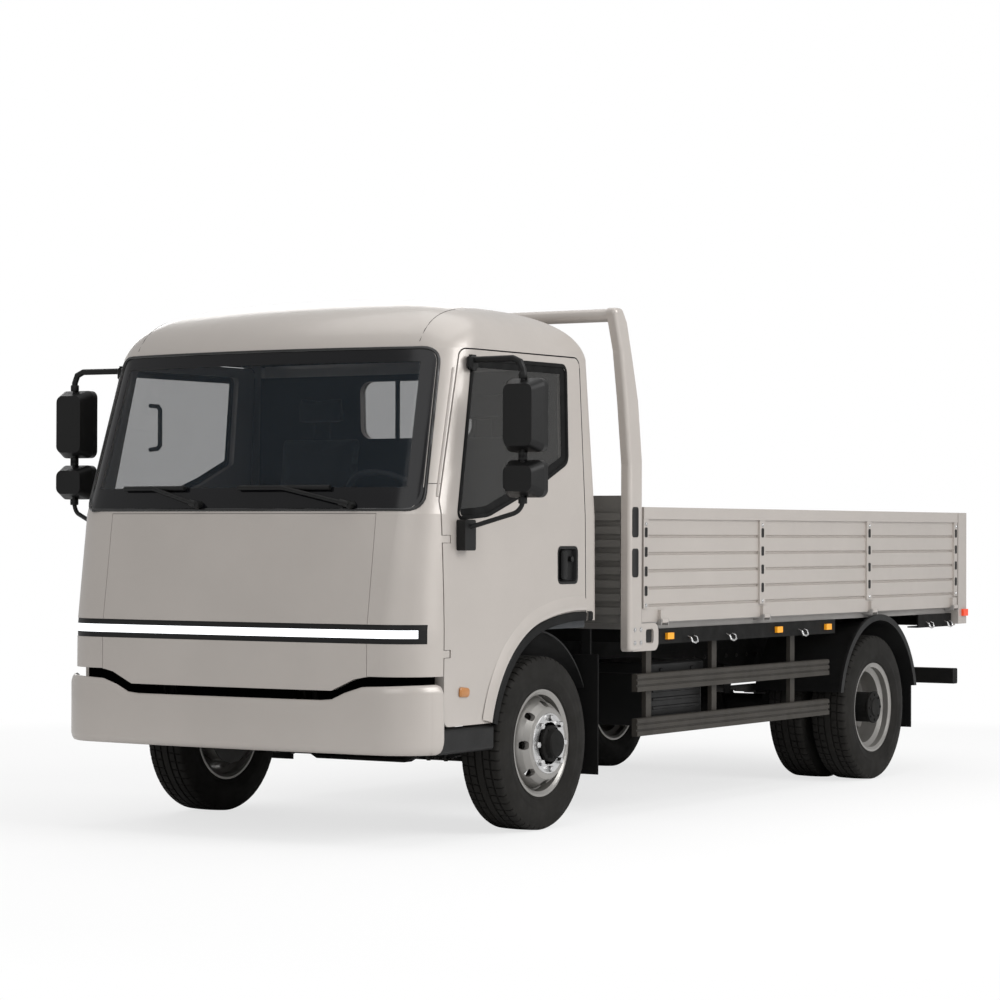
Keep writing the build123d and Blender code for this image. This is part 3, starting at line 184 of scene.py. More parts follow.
def finish(name, colour, rough, metal=0.0, tone=0.08, grain=300, relief=0.0001, coat=0.0, dust=0.0,
           shine=0.5, lined=""):
    """Finish whose tone, gloss and fine relief vary over the surface. If it is lined, the faces
    that look down the named axis, into the cab, are dark."""
    n = new_material(name)
    darker = tuple(c * (1 - tone) for c in colour)
    lighter = tuple(min(1.0, c * (1 + tone)) for c in colour)
    shade = n.mix(n.spread(n.noise(3.0), 0, 1), darker, lighter)
    if dust:
        place = n.add("ShaderNodeSeparateXYZ")
        n.link(n.place, place.inputs[0])
        low = n.spread(place.outputs["Z"], 0, dust, *DUST_HEIGHTS)
        shade = n.mix(n.math("MULTIPLY", low, n.spread(n.noise(9.0, 8), 0, 1)), shade, DUST)
    gloss = n.spread(n.noise(14.0, 6), rough * 0.88, min(1.0, rough * 1.12))
    if lined:
        facing = n.add("ShaderNodeSeparateXYZ")
        n.link(n.add("ShaderNodeTexCoord").outputs["Normal"], facing.inputs[0])
        inside = n.math("LESS_THAN", facing.outputs[lined], -0.4)
        shade = n.mix(inside, shade, LINING)
        gloss = n.math("MAXIMUM", gloss, n.math("MULTIPLY", inside, LINING_ROUGHNESS))
        outside = n.math("SUBTRACT", 1.0, inside)
        n.link(n.math("MULTIPLY", outside, coat), n.shader.inputs["Coat Weight"])
        n.link(n.math("MULTIPLY", outside, metal), n.shader.inputs["Metallic"])
    else:
        n.set(Coat_Weight=coat, Metallic=metal)
    n.link(shade, n.shader.inputs["Base Color"])
    n.link(gloss, n.shader.inputs["Roughness"])
    n.set(Specular_IOR_Level=shine, Coat_Roughness=0.12)
    n.bump(n.noise(grain, 3), relief)
    return n.owner


def glass(name, colour, lighter, alpha, grain, relief, **more):
    """Tinted pane that the inside shows through."""
    n = new_material(name)
    n.link(n.mix(n.spread(n.noise(grain[0]), 0, 1), colour, lighter), n.shader.inputs["Base Color"])
    n.set(Alpha=alpha, **more)
    n.bump(n.noise(grain[1], 1), relief)
    return n.owner


def glow(name, colour, strength):
    """Lit lens with fine upright flutes."""
    n = new_material(name)
    wave = n.add("ShaderNodeTexWave")
    wave.inputs["Scale"].default_value = 40
    n.link(n.place, wave.inputs["Vector"])
    n.link(n.mix(n.spread(n.noise(20), 0, 1), tuple(c * 0.9 for c in colour), colour),
           n.shader.inputs["Base Color"])
    n.set(Roughness=0.3, Emission_Color=(*colour, 1), Emission_Strength=strength)
    n.bump(wave.outputs["Fac"], 0.0006)
    return n.owner


def weave(name, colour):
    """Woven cloth: two crossed waves."""
    n = new_material(name)
    waves = []
    for way in ("X", "Z"):
        wave = n.add("ShaderNodeTexWave", bands_direction=way)
        wave.inputs["Scale"].default_value = 160
        n.link(n.place, wave.inputs["Vector"])
        waves.append(wave.outputs["Fac"])
    cross = n.math("MULTIPLY", *waves)
    n.link(n.mix(cross, tuple(c * 0.7 for c in colour), colour), n.shader.inputs["Base Color"])
    n.set(Roughness=0.95, Sheen_Weight=0.3)
    n.bump(cross, 0.0006)
    return n.owner


def paint(name, coat=0.35, lined=""):
    """Paint of the cab and the boards."""
    return finish(name, PAINT, 0.38, 0.25, 0.025, 1500, 0.00003, coat, lined=lined)


PAINT = (0.44, 0.405, 0.375)
LINING = (0.040, 0.045, 0.050)
LINING_ROUGHNESS = 0.85
DUST = (0.16, 0.145, 0.125)
DUST_HEIGHTS = (0.9, 0.1)
PANE = (0.030, 0.029, 0.027)
PANE_LIGHT = tuple(c * 1.1 for c in PANE)
# name, colour, roughness, metal, tone, grain, relief, and what else the finish has
FINISHES = (
    ("chassis_black", (0.006, 0.006, 0.0058), 0.62, 0.0, 0.3, 200, 0.0003, {"dust": 0.05, "shine": 0.12}),
    ("guard_grey", (0.036, 0.032, 0.027), 0.55, 0.0, 0.2, 260, 0.0002, {"dust": 0.05, "shine": 0.25}),
    ("spring_steel", (0.028, 0.027, 0.026), 0.6, 0.4, 0.35, 120, 0.0004, {"dust": 0.2}),
    ("cast_metal", (0.075, 0.073, 0.07), 0.65, 0.5, 0.25, 160, 0.0005, {"dust": 0.2}),
    ("deck_steel", (0.26, 0.25, 0.24), 0.55, 0.2, 0.08, 90, 0.0005, {}),
    ("black_plastic", (0.0055, 0.0055, 0.0055), 0.45, 0, 0.15, 900, 0.0001, {"shine": 0.25}),
    ("interior_dark", (0.045, 0.050, 0.055), 0.6, 0, 0.15, 1200, 0.0002, {}),
    ("rubber_black", (0.006, 0.006, 0.006), 0.8, 0, 0.2, 500, 0.0003, {"dust": 0.02, "shine": 0.15}),
    ("tyre_rubber", (0.010, 0.0093, 0.0082), 0.8, 0, 0.2, 350, 0.0002, {"dust": 0.03, "shine": 0.2}),
    ("rim_silver", (0.31, 0.30, 0.285), 0.36, 0.7, 0.06, 700, 0.0001, {"coat": 0.2, "dust": 0.12}),
)
MATERIALS = {name: finish(name, *values, **more) for name, *values, more in FINISHES}
MATERIALS.update({
    "body_paint": paint("body_paint"),
    "seat_fabric": weave("seat_fabric", (0.055, 0.060, 0.066)),
    "lamp_white": glow("lamp_white", (0.95, 0.97, 1.0), 1.0),
    "lamp_amber": glow("lamp_amber", (0.90, 0.36, 0.01), 0.10),
    "lamp_red": glow("lamp_red", (0.85, 0.07, 0.02), 0.1),
    "tinted_glass": glass("tinted_glass", (0.008, 0.014, 0.020), (0.011, 0.018, 0.026), 0.30, (1.2, 1.5),
                          0.0003, Roughness=0.04, Specular_IOR_Level=0.35),
})
CHROME = finish("bright_steel", (0.6, 0.6, 0.6), 0.25, 1.0, 0.1, 400, 0.0001)
MIRROR = finish("mirror_face", (0.75, 0.77, 0.8), 0.04, 1.0, 0.02, 30, 0.00002)
PRINT = finish("printed_border", (0.004, 0.004, 0.005), 0.14, 0, 0.1, 30, 0.00005, shine=0.3)
SEAL = finish("glossy_rubber", (0.004, 0.004, 0.004), 0.22, 0, 0.1, 400, 0.0001, shine=0.6)
# painted shade: a near-black, matt finish for sheets that stand for the shade in the gaps round the bumper
PAINTED_SHADE = finish("painted_shade_sheet", (0.002, 0.002, 0.002), 0.9, 0, 0.2, 80, 0.0003, shine=0.0)
ARCH_BLACK = finish("arch_black", (0.003, 0.003, 0.003), 0.5, 0, 0.15, 700, 0.0001, shine=0.15)
REPEATER_LENS = glow("repeater_lens", (0.40, 0.17, 0.05), 0.03)
LENS_CLEAR = finish("clear_lens", (0.75, 0.75, 0.75), 0.15, 0, 0.05, 60, 0.0004, 0.5)
BY_NODE = {
    "cab_rear_wall": paint("rear_wall_paint", 0.1, lined="Y"),
    "cab_roof": paint("roof_paint", lined="Z"),
    "bulkhead_panel": finish("bulkhead_grey", (0.15, 0.145, 0.135), 0.55, 0.0, 0.07, 260, 0.0002, shine=0.3),
}
# the right one is clearer, as it is seen through the windshield as well
for side, name, alpha in (("left", "door_glass", 0.42), ("right", "door_glass_far", 0.30)):
    BY_NODE[f"door_glass_{side}"] = glass(name, PANE, PANE_LIGHT, alpha, (1.4, 2.0), 0.0002,
                                          Roughness=0.03, Coat_Weight=0.6)
for part in frame["record"]["subparts"]:
    node = frame["nodes"][part["node"]]
    node.data.materials.clear()
    node.data.materials.append(BY_NODE.get(part["node"], MATERIALS[part["material_slot"]]))


# Mesh pieces
class Shape:
    """Vertices and faces of one piece, put together from simple forms."""

    def __init__(self):
        self.points = []
        self.faces = []

    def grid(self, rows, close_rows=False, close_columns=False, caps=False):
        start, wide = len(self.points), len(rows[0])
        for row in rows:
            self.points.extend(row)
        row_steps = len(rows) if close_rows else len(rows) - 1
        column_steps = wide if close_columns else wide - 1
        for i in range(row_steps):
            for j in range(column_steps):
                a, b = start + i * wide + j, start + i * wide + (j + 1) % wide
                c = start + ((i + 1) % len(rows)) * wide + (j + 1) % wide
                d = start + ((i + 1) % len(rows)) * wide + j
                self.faces.append((a, b, c, d))
        if caps:
            self.faces.append(tuple(range(start + wide - 1, start - 1, -1)))
            last = start + (len(rows) - 1) * wide
            self.faces.append(tuple(range(last, last + wide)))

    def block(self, low, high, chamfer):
        """Box with its upright edges and its top and bottom rims chamfered."""
        c = min(chamfer, *((b - a) / 2.1 for a, b in zip(low, high)))
        rows = []
        for z, drawn in ((low[2], c), (low[2] + c, 0), (high[2] - c, 0), (high[2], c)):
            x0, x1, y0, y1 = low[0] + drawn, high[0] - drawn, low[1] + drawn, high[1] - drawn
            rows.append([(x0 + c, y0, z), (x1 - c, y0, z), (x1, y0 + c, z), (x1, y1 - c, z),
                         (x1 - c, y1, z), (x0 + c, y1, z), (x0, y1 - c, z), (x0, y0 + c, z)])
        self.grid(rows, close_columns=True, caps=True)

    def turned(self, profile, centre, axis="x", steps=48, close=False):
        """Profile of (along the axis, radius) turned round an axis through the centre."""
        rows = []
        for along, radius in profile:
            row = []
            for k in range(steps):
                angle = 2 * math.pi * k / steps
                u, v = radius * math.cos(angle), radius * math.sin(angle)
                offset = {"x": (along, u, v), "y": (u, along, v), "z": (u, v, along)}[axis]
                row.append(tuple(p + q for p, q in zip(centre, offset)))
            rows.append(row)
        self.grid(rows, close_rows=close, close_columns=True, caps=not close)

    def tube(self, path, radius, sides=12):
        """Round bar along a path of points."""
        path = [Vector(p) for p in path]
        rows = []
        side = None
        for i, point in enumerate(path):
            before = (point - path[i - 1]).normalized() if i else (path[1] - point).normalized()
            after = (path[i + 1] - point).normalized() if i + 1 < len(path) else before
            along = (before + after).normalized()
            if side is None:
                side = along.orthogonal().normalized()
            side = (side - along * side.dot(along)).normalized()
            other = along.cross(side)
            stretch = radius / max(0.5, along.dot(before))
            rows.append([tuple(point + (side * math.cos(a) + other * math.sin(a)) * stretch)
                         for a in (2 * math.pi * k / sides for k in range(sides))])
        self.grid(rows, close_columns=True, caps=True)

    def prism(self, outline, low, high):
        """Outline of (y, z) carried from one X to another."""
        self.grid([[(x, *p) for p in outline] for x in (low, high)], close_columns=True, caps=True)

    def plate(self, outline, base, layers):
        """Plate on a side face: rows of an outline (station, height) at a list of (grow, stand out)."""
        self.grid([[(base + out, aft(s), z) for s, z in inset(outline, grow)] for grow, out in layers],
                  close_columns=True, caps=True)

    def bolt(self, centre, axis, radius, height):
        """Hexagon head with a crowned face; the axis gives the way that it stands out."""
        letter, way = axis[-1], -1 if axis[0] == "-" else 1
        profile = [(-0.002 * way, radius), (height * 0.7 * way, radius), (height * way, radius * 0.8)]
        self.turned(profile, centre, letter, 6)
        self.turned([(-0.002 * way, radius * 1.45), (0.0015 * way, radius * 1.4)], centre, letter, 16)

    def mirrored(self):
        """The same shape on the other side of the vehicle."""
        other = Shape()
        other.points = [(-x, y, z) for x, y, z in self.points]
        other.faces = [tuple(reversed(f)) for f in self.faces]
        return other

    def piece(self, name, slot, body, replaces=(), material=None, angle=30):
        """Turn the shape into an object that rides on a body."""
        mesh = bpy.data.meshes.new(name)
        mesh.from_pydata(self.points, [], self.faces)
        mesh.validate()
        mesh.polygons.foreach_set("use_smooth", [True] * len(mesh.polygons))
        mesh.set_sharp_from_angle(angle=math.radians(angle))
        mesh.materials.append(material or MATERIALS[slot])
        obj = bpy.data.objects.new(name, mesh)
        bpy.context.collection.objects.link(obj)
        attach(obj, body)
        if replaces:
            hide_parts(*replaces)
        return obj

    def pair(self, name, slot, body, **more):
        """The shape on the left and its mirrored twin on the right, where {} in the body is the side."""
        for side, shape in (("left", self), ("right", self.mirrored())):
            shape.piece(f"{name}_{side}", slot, body.format(side), **more)


trees = {}


def touch(node, start, way):
    """Point where a ray first meets a CAD node."""
    if node not in trees:
        data = frame["nodes"][node].data
        trees[node] = BVHTree.FromPolygons([v.co for v in data.vertices], [p.vertices for p in data.polygons])
    return trees[node].ray_cast(Vector(start), Vector(way))[0]


# Tyres with a road tread, in place of the plain ones
TREAD_PITCHES = 56
SIPE_STEPS = ((0.0, 0), (0.03, 1), (0.13, 1), (0.16, 0), (0.58, 0))
GROOVE_DEPTH = 0.009
SIPE_DEPTH = 0.006
SIPE_SKEW = 0.25 / 0.09       # share of a pitch for each metre from the middle
# distance from the middle, radius, groove, share that the sipes have, out to the bead
TYRE_HALF = (
    (0.000, 0.3835, 0, 0.0), (0.0145, 0.3835, 0, 0.3), (0.0160, 0.3835, 1, 0.3), (0.0225, 0.3833, 1, 0.3),
    (0.0240, 0.3833, 0, 0.6), (0.0500, 0.3828, 0, 0.6), (0.0515, 0.3827, 1, 0.6), (0.0585, 0.3825, 1, 0.6),
    (0.0600, 0.3824, 0, 1.0), (0.0820, 0.3812, 0, 1.0), (0.0905, 0.3765, 0, 1.0), (0.0945, 0.3700, 0, 0.9),
    (0.0970, 0.3620, 0, 0.0), (0.1005, 0.3480, 0, 0.0), (0.1012, 0.3465, 0, 0.0), (0.1034, 0.3300, 0, 0.0),
    (0.1048, 0.3120, 0, 0.0), (0.1050, 0.3060, 0, 0.0), (0.1038, 0.2900, 0, 0.0), (0.1044, 0.2880, 0, 0.0),
    (0.1030, 0.2800, 0, 0.0), (0.0985, 0.2620, 0, 0.0), (0.0940, 0.2500, 0, 0.0), (0.0952, 0.2480, 0, 0.0),
    (0.0930, 0.2420, 0, 0.0), (0.0880, 0.2370, 0, 0.0), (0.0800, 0.2300, 0, 0.0), (0.0740, 0.2300, 0, 0.0),
)


def add_tyre(shape, centre):
    """One tyre round an axle point."""
    rows = []
    for pitch in range(TREAD_PITCHES):
        for step, cut in SIPE_STEPS:
            row = []
            for mirror in (-1, 1):
                half = TYRE_HALF[::-1] if mirror < 0 else TYRE_HALF[1:]
                for wide, radius, groove, share in half:
                    skew = SIPE_SKEW * wide * mirror * (1 if share else 0)
                    angle = 2 * math.pi * (pitch + step + skew) / TREAD_PITCHES
                    r = radius - groove * GROOVE_DEPTH
                    if share > 0.5 and not groove:
                        r -= SIPE_DEPTH * cut
                    row.append((centre[0] + mirror * wide, centre[1] + r * math.cos(angle),
                                centre[2] + r * math.sin(angle)))
            rows.append(row)
    shape.grid(rows, close_rows=True)


def make_tyres():
    for side in ("left", "right"):
        front, rear = Shape(), Shape()
        add_tyre(front, middle(f"tyre_front_{side}"))
        low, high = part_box(f"tyres_rear_{side}")
        for x in (low.x + TYRE_HALF_WIDTH, high.x - TYRE_HALF_WIDTH):
            add_tyre(rear, (x, REAR_AXLE.y, REAR_AXLE.z))
        front.piece(f"tread_front_{side}", "tyre_rubber", f"wheel_front_{side}",
                    (f"tyre_front_{side}",), angle=35)
        rear.piece(f"tread_rear_{side}", "tyre_rubber", f"wheels_rear_{side}",
                   (f"tyres_rear_{side}",), angle=35)


make_tyres()


# Outlines and draping
def arc(a, b, c, steps):
    """Points on the arc from a to c by way of b."""
    ax, ay, bx, by, cx, cy = *a, *b, *c
    d = 2 * (ax * (by - cy) + bx * (cy - ay) + cx * (ay - by))
    ux = ((ax**2 + ay**2) * (by - cy) + (bx**2 + by**2) * (cy - ay) + (cx**2 + cy**2) * (ay - by)) / d
    uy = ((ax**2 + ay**2) * (cx - bx) + (bx**2 + by**2) * (ax - cx) + (cx**2 + cy**2) * (bx - ax)) / d
    radius = math.hypot(ax - ux, ay - uy)
    start, end = math.atan2(ay - uy, ax - ux), math.atan2(cy - uy, cx - ux)
    turn = (end - start + math.pi) % (2 * math.pi) - math.pi
    angles = [start + turn * k / steps for k in range(steps + 1)]
    return [(ux + radius * math.cos(angle), uy + radius * math.sin(angle)) for angle in angles]


def rectangle(low, high):
    """Outline between two corners."""
    return (low, (high[0], low[1]), high, (low[0], high[1]))


def rounded(points, radius, steps=6):
    """Closed outline with its corners rounded."""
    result = []
    count = len(points)
    for i, point in enumerate(points):
        p = Vector(point)
        before = Vector(points[i - 1]) - p
        after = Vector(points[(i + 1) % count]) - p
        reach = min(radius, before.length / 2.2, after.length / 2.2)
        a, c = p + before.normalized() * reach, p + after.normalized() * reach
        for k in range(steps + 1):
            t = k / steps
            q = a * (1 - t) ** 2 + p * 2 * t * (1 - t) + c * t**2
            result.append((q.x, q.y))
    return result


def inset(outline, amount):
    """Closed outline moved outward by an amount, or inward if it is below zero."""
    area = sum(p[0] * q[1] - q[0] * p[1] for p, q in zip(outline, outline[1:] + outline[:1]))
    sign = 1 if area > 0 else -1
    moved = []
    for i, point in enumerate(outline):
        p, before, after = Vector(point), Vector(outline[i - 1]), Vector(outline[(i + 1) % len(outline)])
        along = (after - before).normalized()
        moved.append((p.x + along.y * amount * sign, p.y - along.x * amount * sign))
    return moved


def stretch_out(outline, longest):
    """Closed outline with extra points on its long runs."""
    result = []
    for p, q in zip(outline, outline[1:] + outline[:1]):
        count = max(1, math.ceil(math.dist(p, q) / longest))
        result += [(p[0] + (q[0] - p[0]) * k / count, p[1] + (q[1] - p[1]) * k / count) for k in range(count)]
    return result


SKIN_STATION = 0.30
SKIN_HEIGHTS = (0.93, 2.06)


def skin_x(z):
    """Half width of the cab's side at a height."""
    z = min(max(z, SKIN_HEIGHTS[0]), SKIN_HEIGHTS[1])
    hit = touch("door_left", (1.3, aft(SKIN_STATION), z), (-1, 0, 0))
    return hit.x if hit else CAB_SIDE


# Wheel nuts, trim rings and hub caps; profiles are (outward, radius)
NUT_CIRCLE = 0.112
NUT_RADIUS = 0.0155
NUTS = 8
DISC_OUT = 0.125
DISC_PLATE = 0.010
TRIM_RING = ((0.000, 0.134), (0.004, 0.132), (0.004, 0.094), (0.000, 0.092))
FRONT_CAP = ((-0.012, 0.0795), (0.004, 0.0795), (0.008, 0.076), (0.010, 0.064),
             (0.030, 0.060), (0.036, 0.054), (0.039, 0.036), (0.040, 0.004))
REAR_HUB = ((-0.14, 0.0792), (-0.006, 0.0792), (0.0, 0.084), (0.008, 0.084),
            (0.010, 0.080), (0.011, 0.050), (0.018, 0.046), (0.018, 0.004))


def outward(profile, way):
    """Profile whose first values point outward on the side that way gives."""
    return [(along * way, radius) for along, radius in profile]


def ring_of_bolts(shape, centre, way, count, circle, radius, height, start=0.0):
    """Bolts on a circle about an X axis."""
    for k in range(count):
        angle = start + 2 * math.pi * k / count
        shape.bolt((centre[0], centre[1] + circle * math.cos(angle), centre[2] + circle * math.sin(angle)),
                   "x" if way > 0 else "-x", radius, height)


def make_wheel_fittings():
    for side, way in SIDES:
        tyre = middle(f"tyre_front_{side}")
        disc = (tyre.x + way * DISC_OUT, tyre.y, tyre.z)
        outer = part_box(f"rim_front_{side}")[way > 0].x
        nuts = Shape()
        ring_of_bolts(nuts, disc, way, NUTS, NUT_CIRCLE, NUT_RADIUS, 0.022)
        nuts.turned(outward(TRIM_RING, way), disc, "x", 64)
        nuts.piece(f"wheel_nuts_front_{side}", "rim_silver", f"wheel_front_{side}", material=CHROME)
        cap = Shape()
        cap.turned(outward(FRONT_CAP, way), (outer, tyre.y, tyre.z), "x", 56)
        ring_of_bolts(cap, (outer + way * 0.009, tyre.y, tyre.z), way, 6, 0.0695, 0.0045, 0.004)
        cap.piece(f"hub_cap_front_{side}", "chassis_black", f"wheel_front_{side}", angle=25)
        hub_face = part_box(f"rims_rear_{side}")[way > 0].x
        outer_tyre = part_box(f"tyres_rear_{side}")[way > 0].x - way * TYRE_HALF_WIDTH
        dish = outer_tyre - way * (DISC_OUT - DISC_PLATE)
        nuts = Shape()
        ring_of_bolts(nuts, (dish, REAR_AXLE.y, REAR_AXLE.z), way, NUTS, NUT_CIRCLE, NUT_RADIUS, 0.026, 0.3)
        nuts.piece(f"wheel_nuts_rear_{side}", "rim_silver", f"wheels_rear_{side}", material=CHROME)
        cap = Shape()
        cap.turned(outward(REAR_HUB, way), (hub_face, REAR_AXLE.y, REAR_AXLE.z), "x", 56)
        ring_of_bolts(cap, (hub_face + way * 0.009, REAR_AXLE.y, REAR_AXLE.z), way, 8, 0.066, 0.007, 0.007)
        cap.piece(f"hub_face_rear_{side}", "chassis_black", f"wheels_rear_{side}", angle=25)


make_wheel_fittings()

# Windshield border, printed black along the glass edge, deeper at the cowl
SCREEN_EDGE = ((-0.885, 1.400), (0.885, 1.400), (0.837, 2.092), (-0.837, 2.092))
SCREEN_CORNER = 0.070
BORDER_WIDTH = 0.060
BORDER_LIFT = 0.0016
BORDER_OVERLAP = 0.012
BORDER_ROWS = 15
BORDER_CLEAR = 0.825            # half width left clear
SEAL_RADIUS = 0.007
COWL_TOP = 1.497
GLASS_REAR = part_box("windshield")[1].y + 0.03


def front_y(x, z, *nodes):
    """Y where the first of some CAD nodes is met from the front, or None."""
    hits = [touch(node, (x, -5, z), (0, 1, 0)) for node in nodes]
    return min((hit.y for hit in hits if hit and hit.y < GLASS_REAR), default=None)


def make_screen_border():
    outer = inset(stretch_out(rounded(SCREEN_EDGE, SCREEN_CORNER), 0.05), -0.002)
    inner = [(max(-BORDER_CLEAR, min(BORDER_CLEAR, x)), max(z, COWL_TOP))
             for x, z in inset(outer, -BORDER_WIDTH)]
    widest = max(x for x, z in outer)
    outer = [(x * (1 + BORDER_OVERLAP / widest), z) for x, z in outer]
    rows = []
    for k in range(BORDER_ROWS):
        share = k / (BORDER_ROWS - 1)
        line = [(p[0] + (q[0] - p[0]) * share, p[1] + (q[1] - p[1]) * share) for p, q in zip(outer, inner)]
        ahead = [front_y(x, z, "windshield", "cab_shell", "cab_roof") for x, z in line]
        count = len(line)
        for i in reversed(range(2 * count)):
            # a point that misses the cab takes the Y of the next one
            ahead[i % count] = ahead[i % count] or ahead[(i + 1) % count]
        rows.append([(x, y - BORDER_LIFT, z) for (x, z), y in zip(line, ahead)])
    shape = Shape()
    shape.grid(rows, close_columns=True)
    shape.piece("windshield_border", "black_plastic", "cab", material=PRINT)
    seal = Shape()
    seal.tube(rows[0] + rows[0][:1], SEAL_RADIUS, 12)
    seal.piece("windshield_seal", "rubber_black", "cab", material=SEAL)


make_screen_border()

# Wiper arms and blades, thicker over the plain bars; each has the X of its pivot, tip and heel
WIPERS = ((0.585, 0.014, 0.473), (-0.190, -0.642, -0.282))
WIPER_PIVOT_Z = 1.424
WIPER_BLADE_Z = 1.496
WIPER_LIFT = 0.016


def make_wiper_blades():
    def on_screen(x, z, lift):
        return (x, front_y(x, z, "windshield", "cab_shell") - lift, z)

    shape = Shape()
    for pivot, tip, heel in WIPERS:
        blade = [on_screen(tip + (heel - tip) * k / 8, WIPER_BLADE_Z, WIPER_LIFT) for k in range(9)]
        shape.tube(blade, 0.011, 10)
        pin = on_screen(pivot, WIPER_PIVOT_Z, WIPER_LIFT + 0.010)
        hold = on_screen((tip + heel) / 2, WIPER_BLADE_Z, WIPER_LIFT + 0.006)
        knee = tuple(a * 0.86 + b * 0.14 for a, b in zip(pin, hold))
        shape.tube([pin, knee], 0.015, 12)
        shape.tube([knee, hold], 0.0095, 10)
        shape.turned([(-0.012, 0.004), (-0.010, 0.016), (0.012, 0.018)], pin, "y", 20)
    shape.piece("wiper_blades", "black_plastic", "cab")


make_wiper_blades()

# Bumper with softened edges and rounded ends, in place of the plain one
BUMPER_TOP = ((-1.100, 0.681), (-0.690, 0.665), (-0.640, 0.655), (-0.530, 0.605), (0.530, 0.605),
              (0.640, 0.655), (0.690, 0.665), (1.100, 0.681))
BUMPER_WALL = 0.018
BUMPER_ROUND = 0.048
BUMPER_LEVEL = 0.06             # above its foot, where the face is sought
BUMPER_CORNER = 0.70            # X that each round corner is sought from
BUMPER_END = 0.085              # run of each straight end
BUMPER_SPACING = 0.012
END_STEPS = (0.0, 0.003, 0.008, 0.015, 0.024)
END_DRAW = 0.012
BRACKET_X = (0.351, 0.375)
BRACKET_STATIONS = (-1.050, -0.931)
BRACKET_HEIGHTS = (0.525, 0.585)
# distance from the edge, drawn in from the face
SOFT_EDGE = ((0.000, 0.0180), (0.002, 0.0120), (0.012, 0.0055), (0.026, 0.0012), (0.036, 0.0000))


def height_at(x, line):
    """Height of a line of (x, height) points at an x."""
    for (x0, z0), (x1, z1) in zip(line, line[1:]):
        if x0 <= x <= x1:
            return z0 + (z1 - z0) * (x - x0) / (x1 - x0)
    return line[-1][1]


def bumper_path():
    """Outer face of the CAD bumper in plan, from its left end round the front to its right end."""
    low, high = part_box("front_bumper")
    level, pivot = low.z + BUMPER_LEVEL, high.y - 0.06

    def face(x, y, way):
        hit = touch("front_bumper", (x, y, level), (*way, 0))
        return [(hit.x, hit.y)] if hit else []

    def end(way):
        start = high.y - 0.0005
        return [p for k in range(9) for p in face(way * 2, start - BUMPER_END * k / 8, (-way, 0))]

    def fan(x, first, last):
        """Face points seen from a pivot, in steps of two degrees from the left."""
        points = []
        for k in range(first, last):
            angle = math.radians(2 * k)
            out = (math.cos(angle), -math.sin(angle))
            points += face(x + out[0] * 1.5, pivot + out[1] * 1.5, (-out[0], -out[1]))
        return points

    front = [p for p in fan(0, 1, 90) if abs(p[0]) < BUMPER_CORNER]
    points = end(1) + fan(BUMPER_CORNER, 1, 45) + front + fan(-BUMPER_CORNER, 46, 90) + end(-1)[::-1]
    path = points[:1]
    for p in points[1:]:
        if math.dist(p, path[-1]) > BUMPER_SPACING:
            path.append(p)
    return path


def make_bumper():
    path = bumper_path()
    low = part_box("front_bumper")[0]
    lengths = [0.0]
    for p, q in zip(path, path[1:]):
        lengths.append(lengths[-1] + math.dist(p, q))
    total = lengths[-1]
    rows = []
    for s in sorted({*END_STEPS, *(total - e for e in END_STEPS), *lengths}):
        i = max(k for k, value in enumerate(lengths[:-1]) if value <= s + 1e-9)
        share = min(1.0, (s - lengths[i]) / (lengths[i + 1] - lengths[i]))
        x, y = (p + (q - p) * share for p, q in zip(path[i], path[i + 1]))
        along = (Vector(path[i + 1]) - Vector(path[i])).normalized()
        out = Vector((along.y, -along.x))
        if out.y > 0.3 or out.dot(Vector((x, y - REAR_AXLE.y))) < 0:
            out = -out
        end = min(s, total - s)
        cut = BUMPER_ROUND - math.sqrt(max(0.0, BUMPER_ROUND**2 - max(0.0, BUMPER_ROUND - end)**2))
        drawn = END_DRAW * max(0.0, 1 - end / 0.02)**2
        top, bottom = height_at(x, BUMPER_TOP) - cut, low.z + cut
        row = [(top - edge, inward + drawn) for edge, inward in SOFT_EDGE]
        row += [(bottom + edge, inward + drawn) for edge, inward in reversed(SOFT_EDGE)]
        row += [(bottom, BUMPER_WALL), (top, BUMPER_WALL)]
        rows.append([(x - out.x * inward, y - out.y * inward, z) for z, inward in row])
    shape = Shape()
    shape.grid(rows, close_columns=True, caps=True)
    for way in (-1, 1):
        x0, x1 = sorted(way * x for x in BRACKET_X)
        shape.block((x0, aft(BRACKET_STATIONS[0]), BRACKET_HEIGHTS[0]),
                    (x1, aft(BRACKET_STATIONS[1]), BRACKET_HEIGHTS[1]), 0.004)
    shape.piece("bumper_shell", "body_paint", "chassis", ("front_bumper",), angle=40)


make_bumper()

# Painted shade: near-black sheets behind the slot between the nose and the bumper, and a flat one behind the
# bumper
BACKING = ((-0.915, -0.430), (-0.310, 0.310), (0.430, 0.915))
BACKING_HEIGHTS = (0.590, 0.720)
TRAY_HALF = 0.86
TRAY_REAR = aft(-0.640)
TRAY_HEIGHTS = (0.498, 0.503)


def backing_y(x):
    """Y of the backing, which follows the curve of the nose and turns back at its ends."""
    bow = 0.05 * (x / 0.955)**2
    turn = 0.10 * max(0.0, (abs(x) - 0.78) / 0.135)**2
    return aft(-0.985) + bow + turn


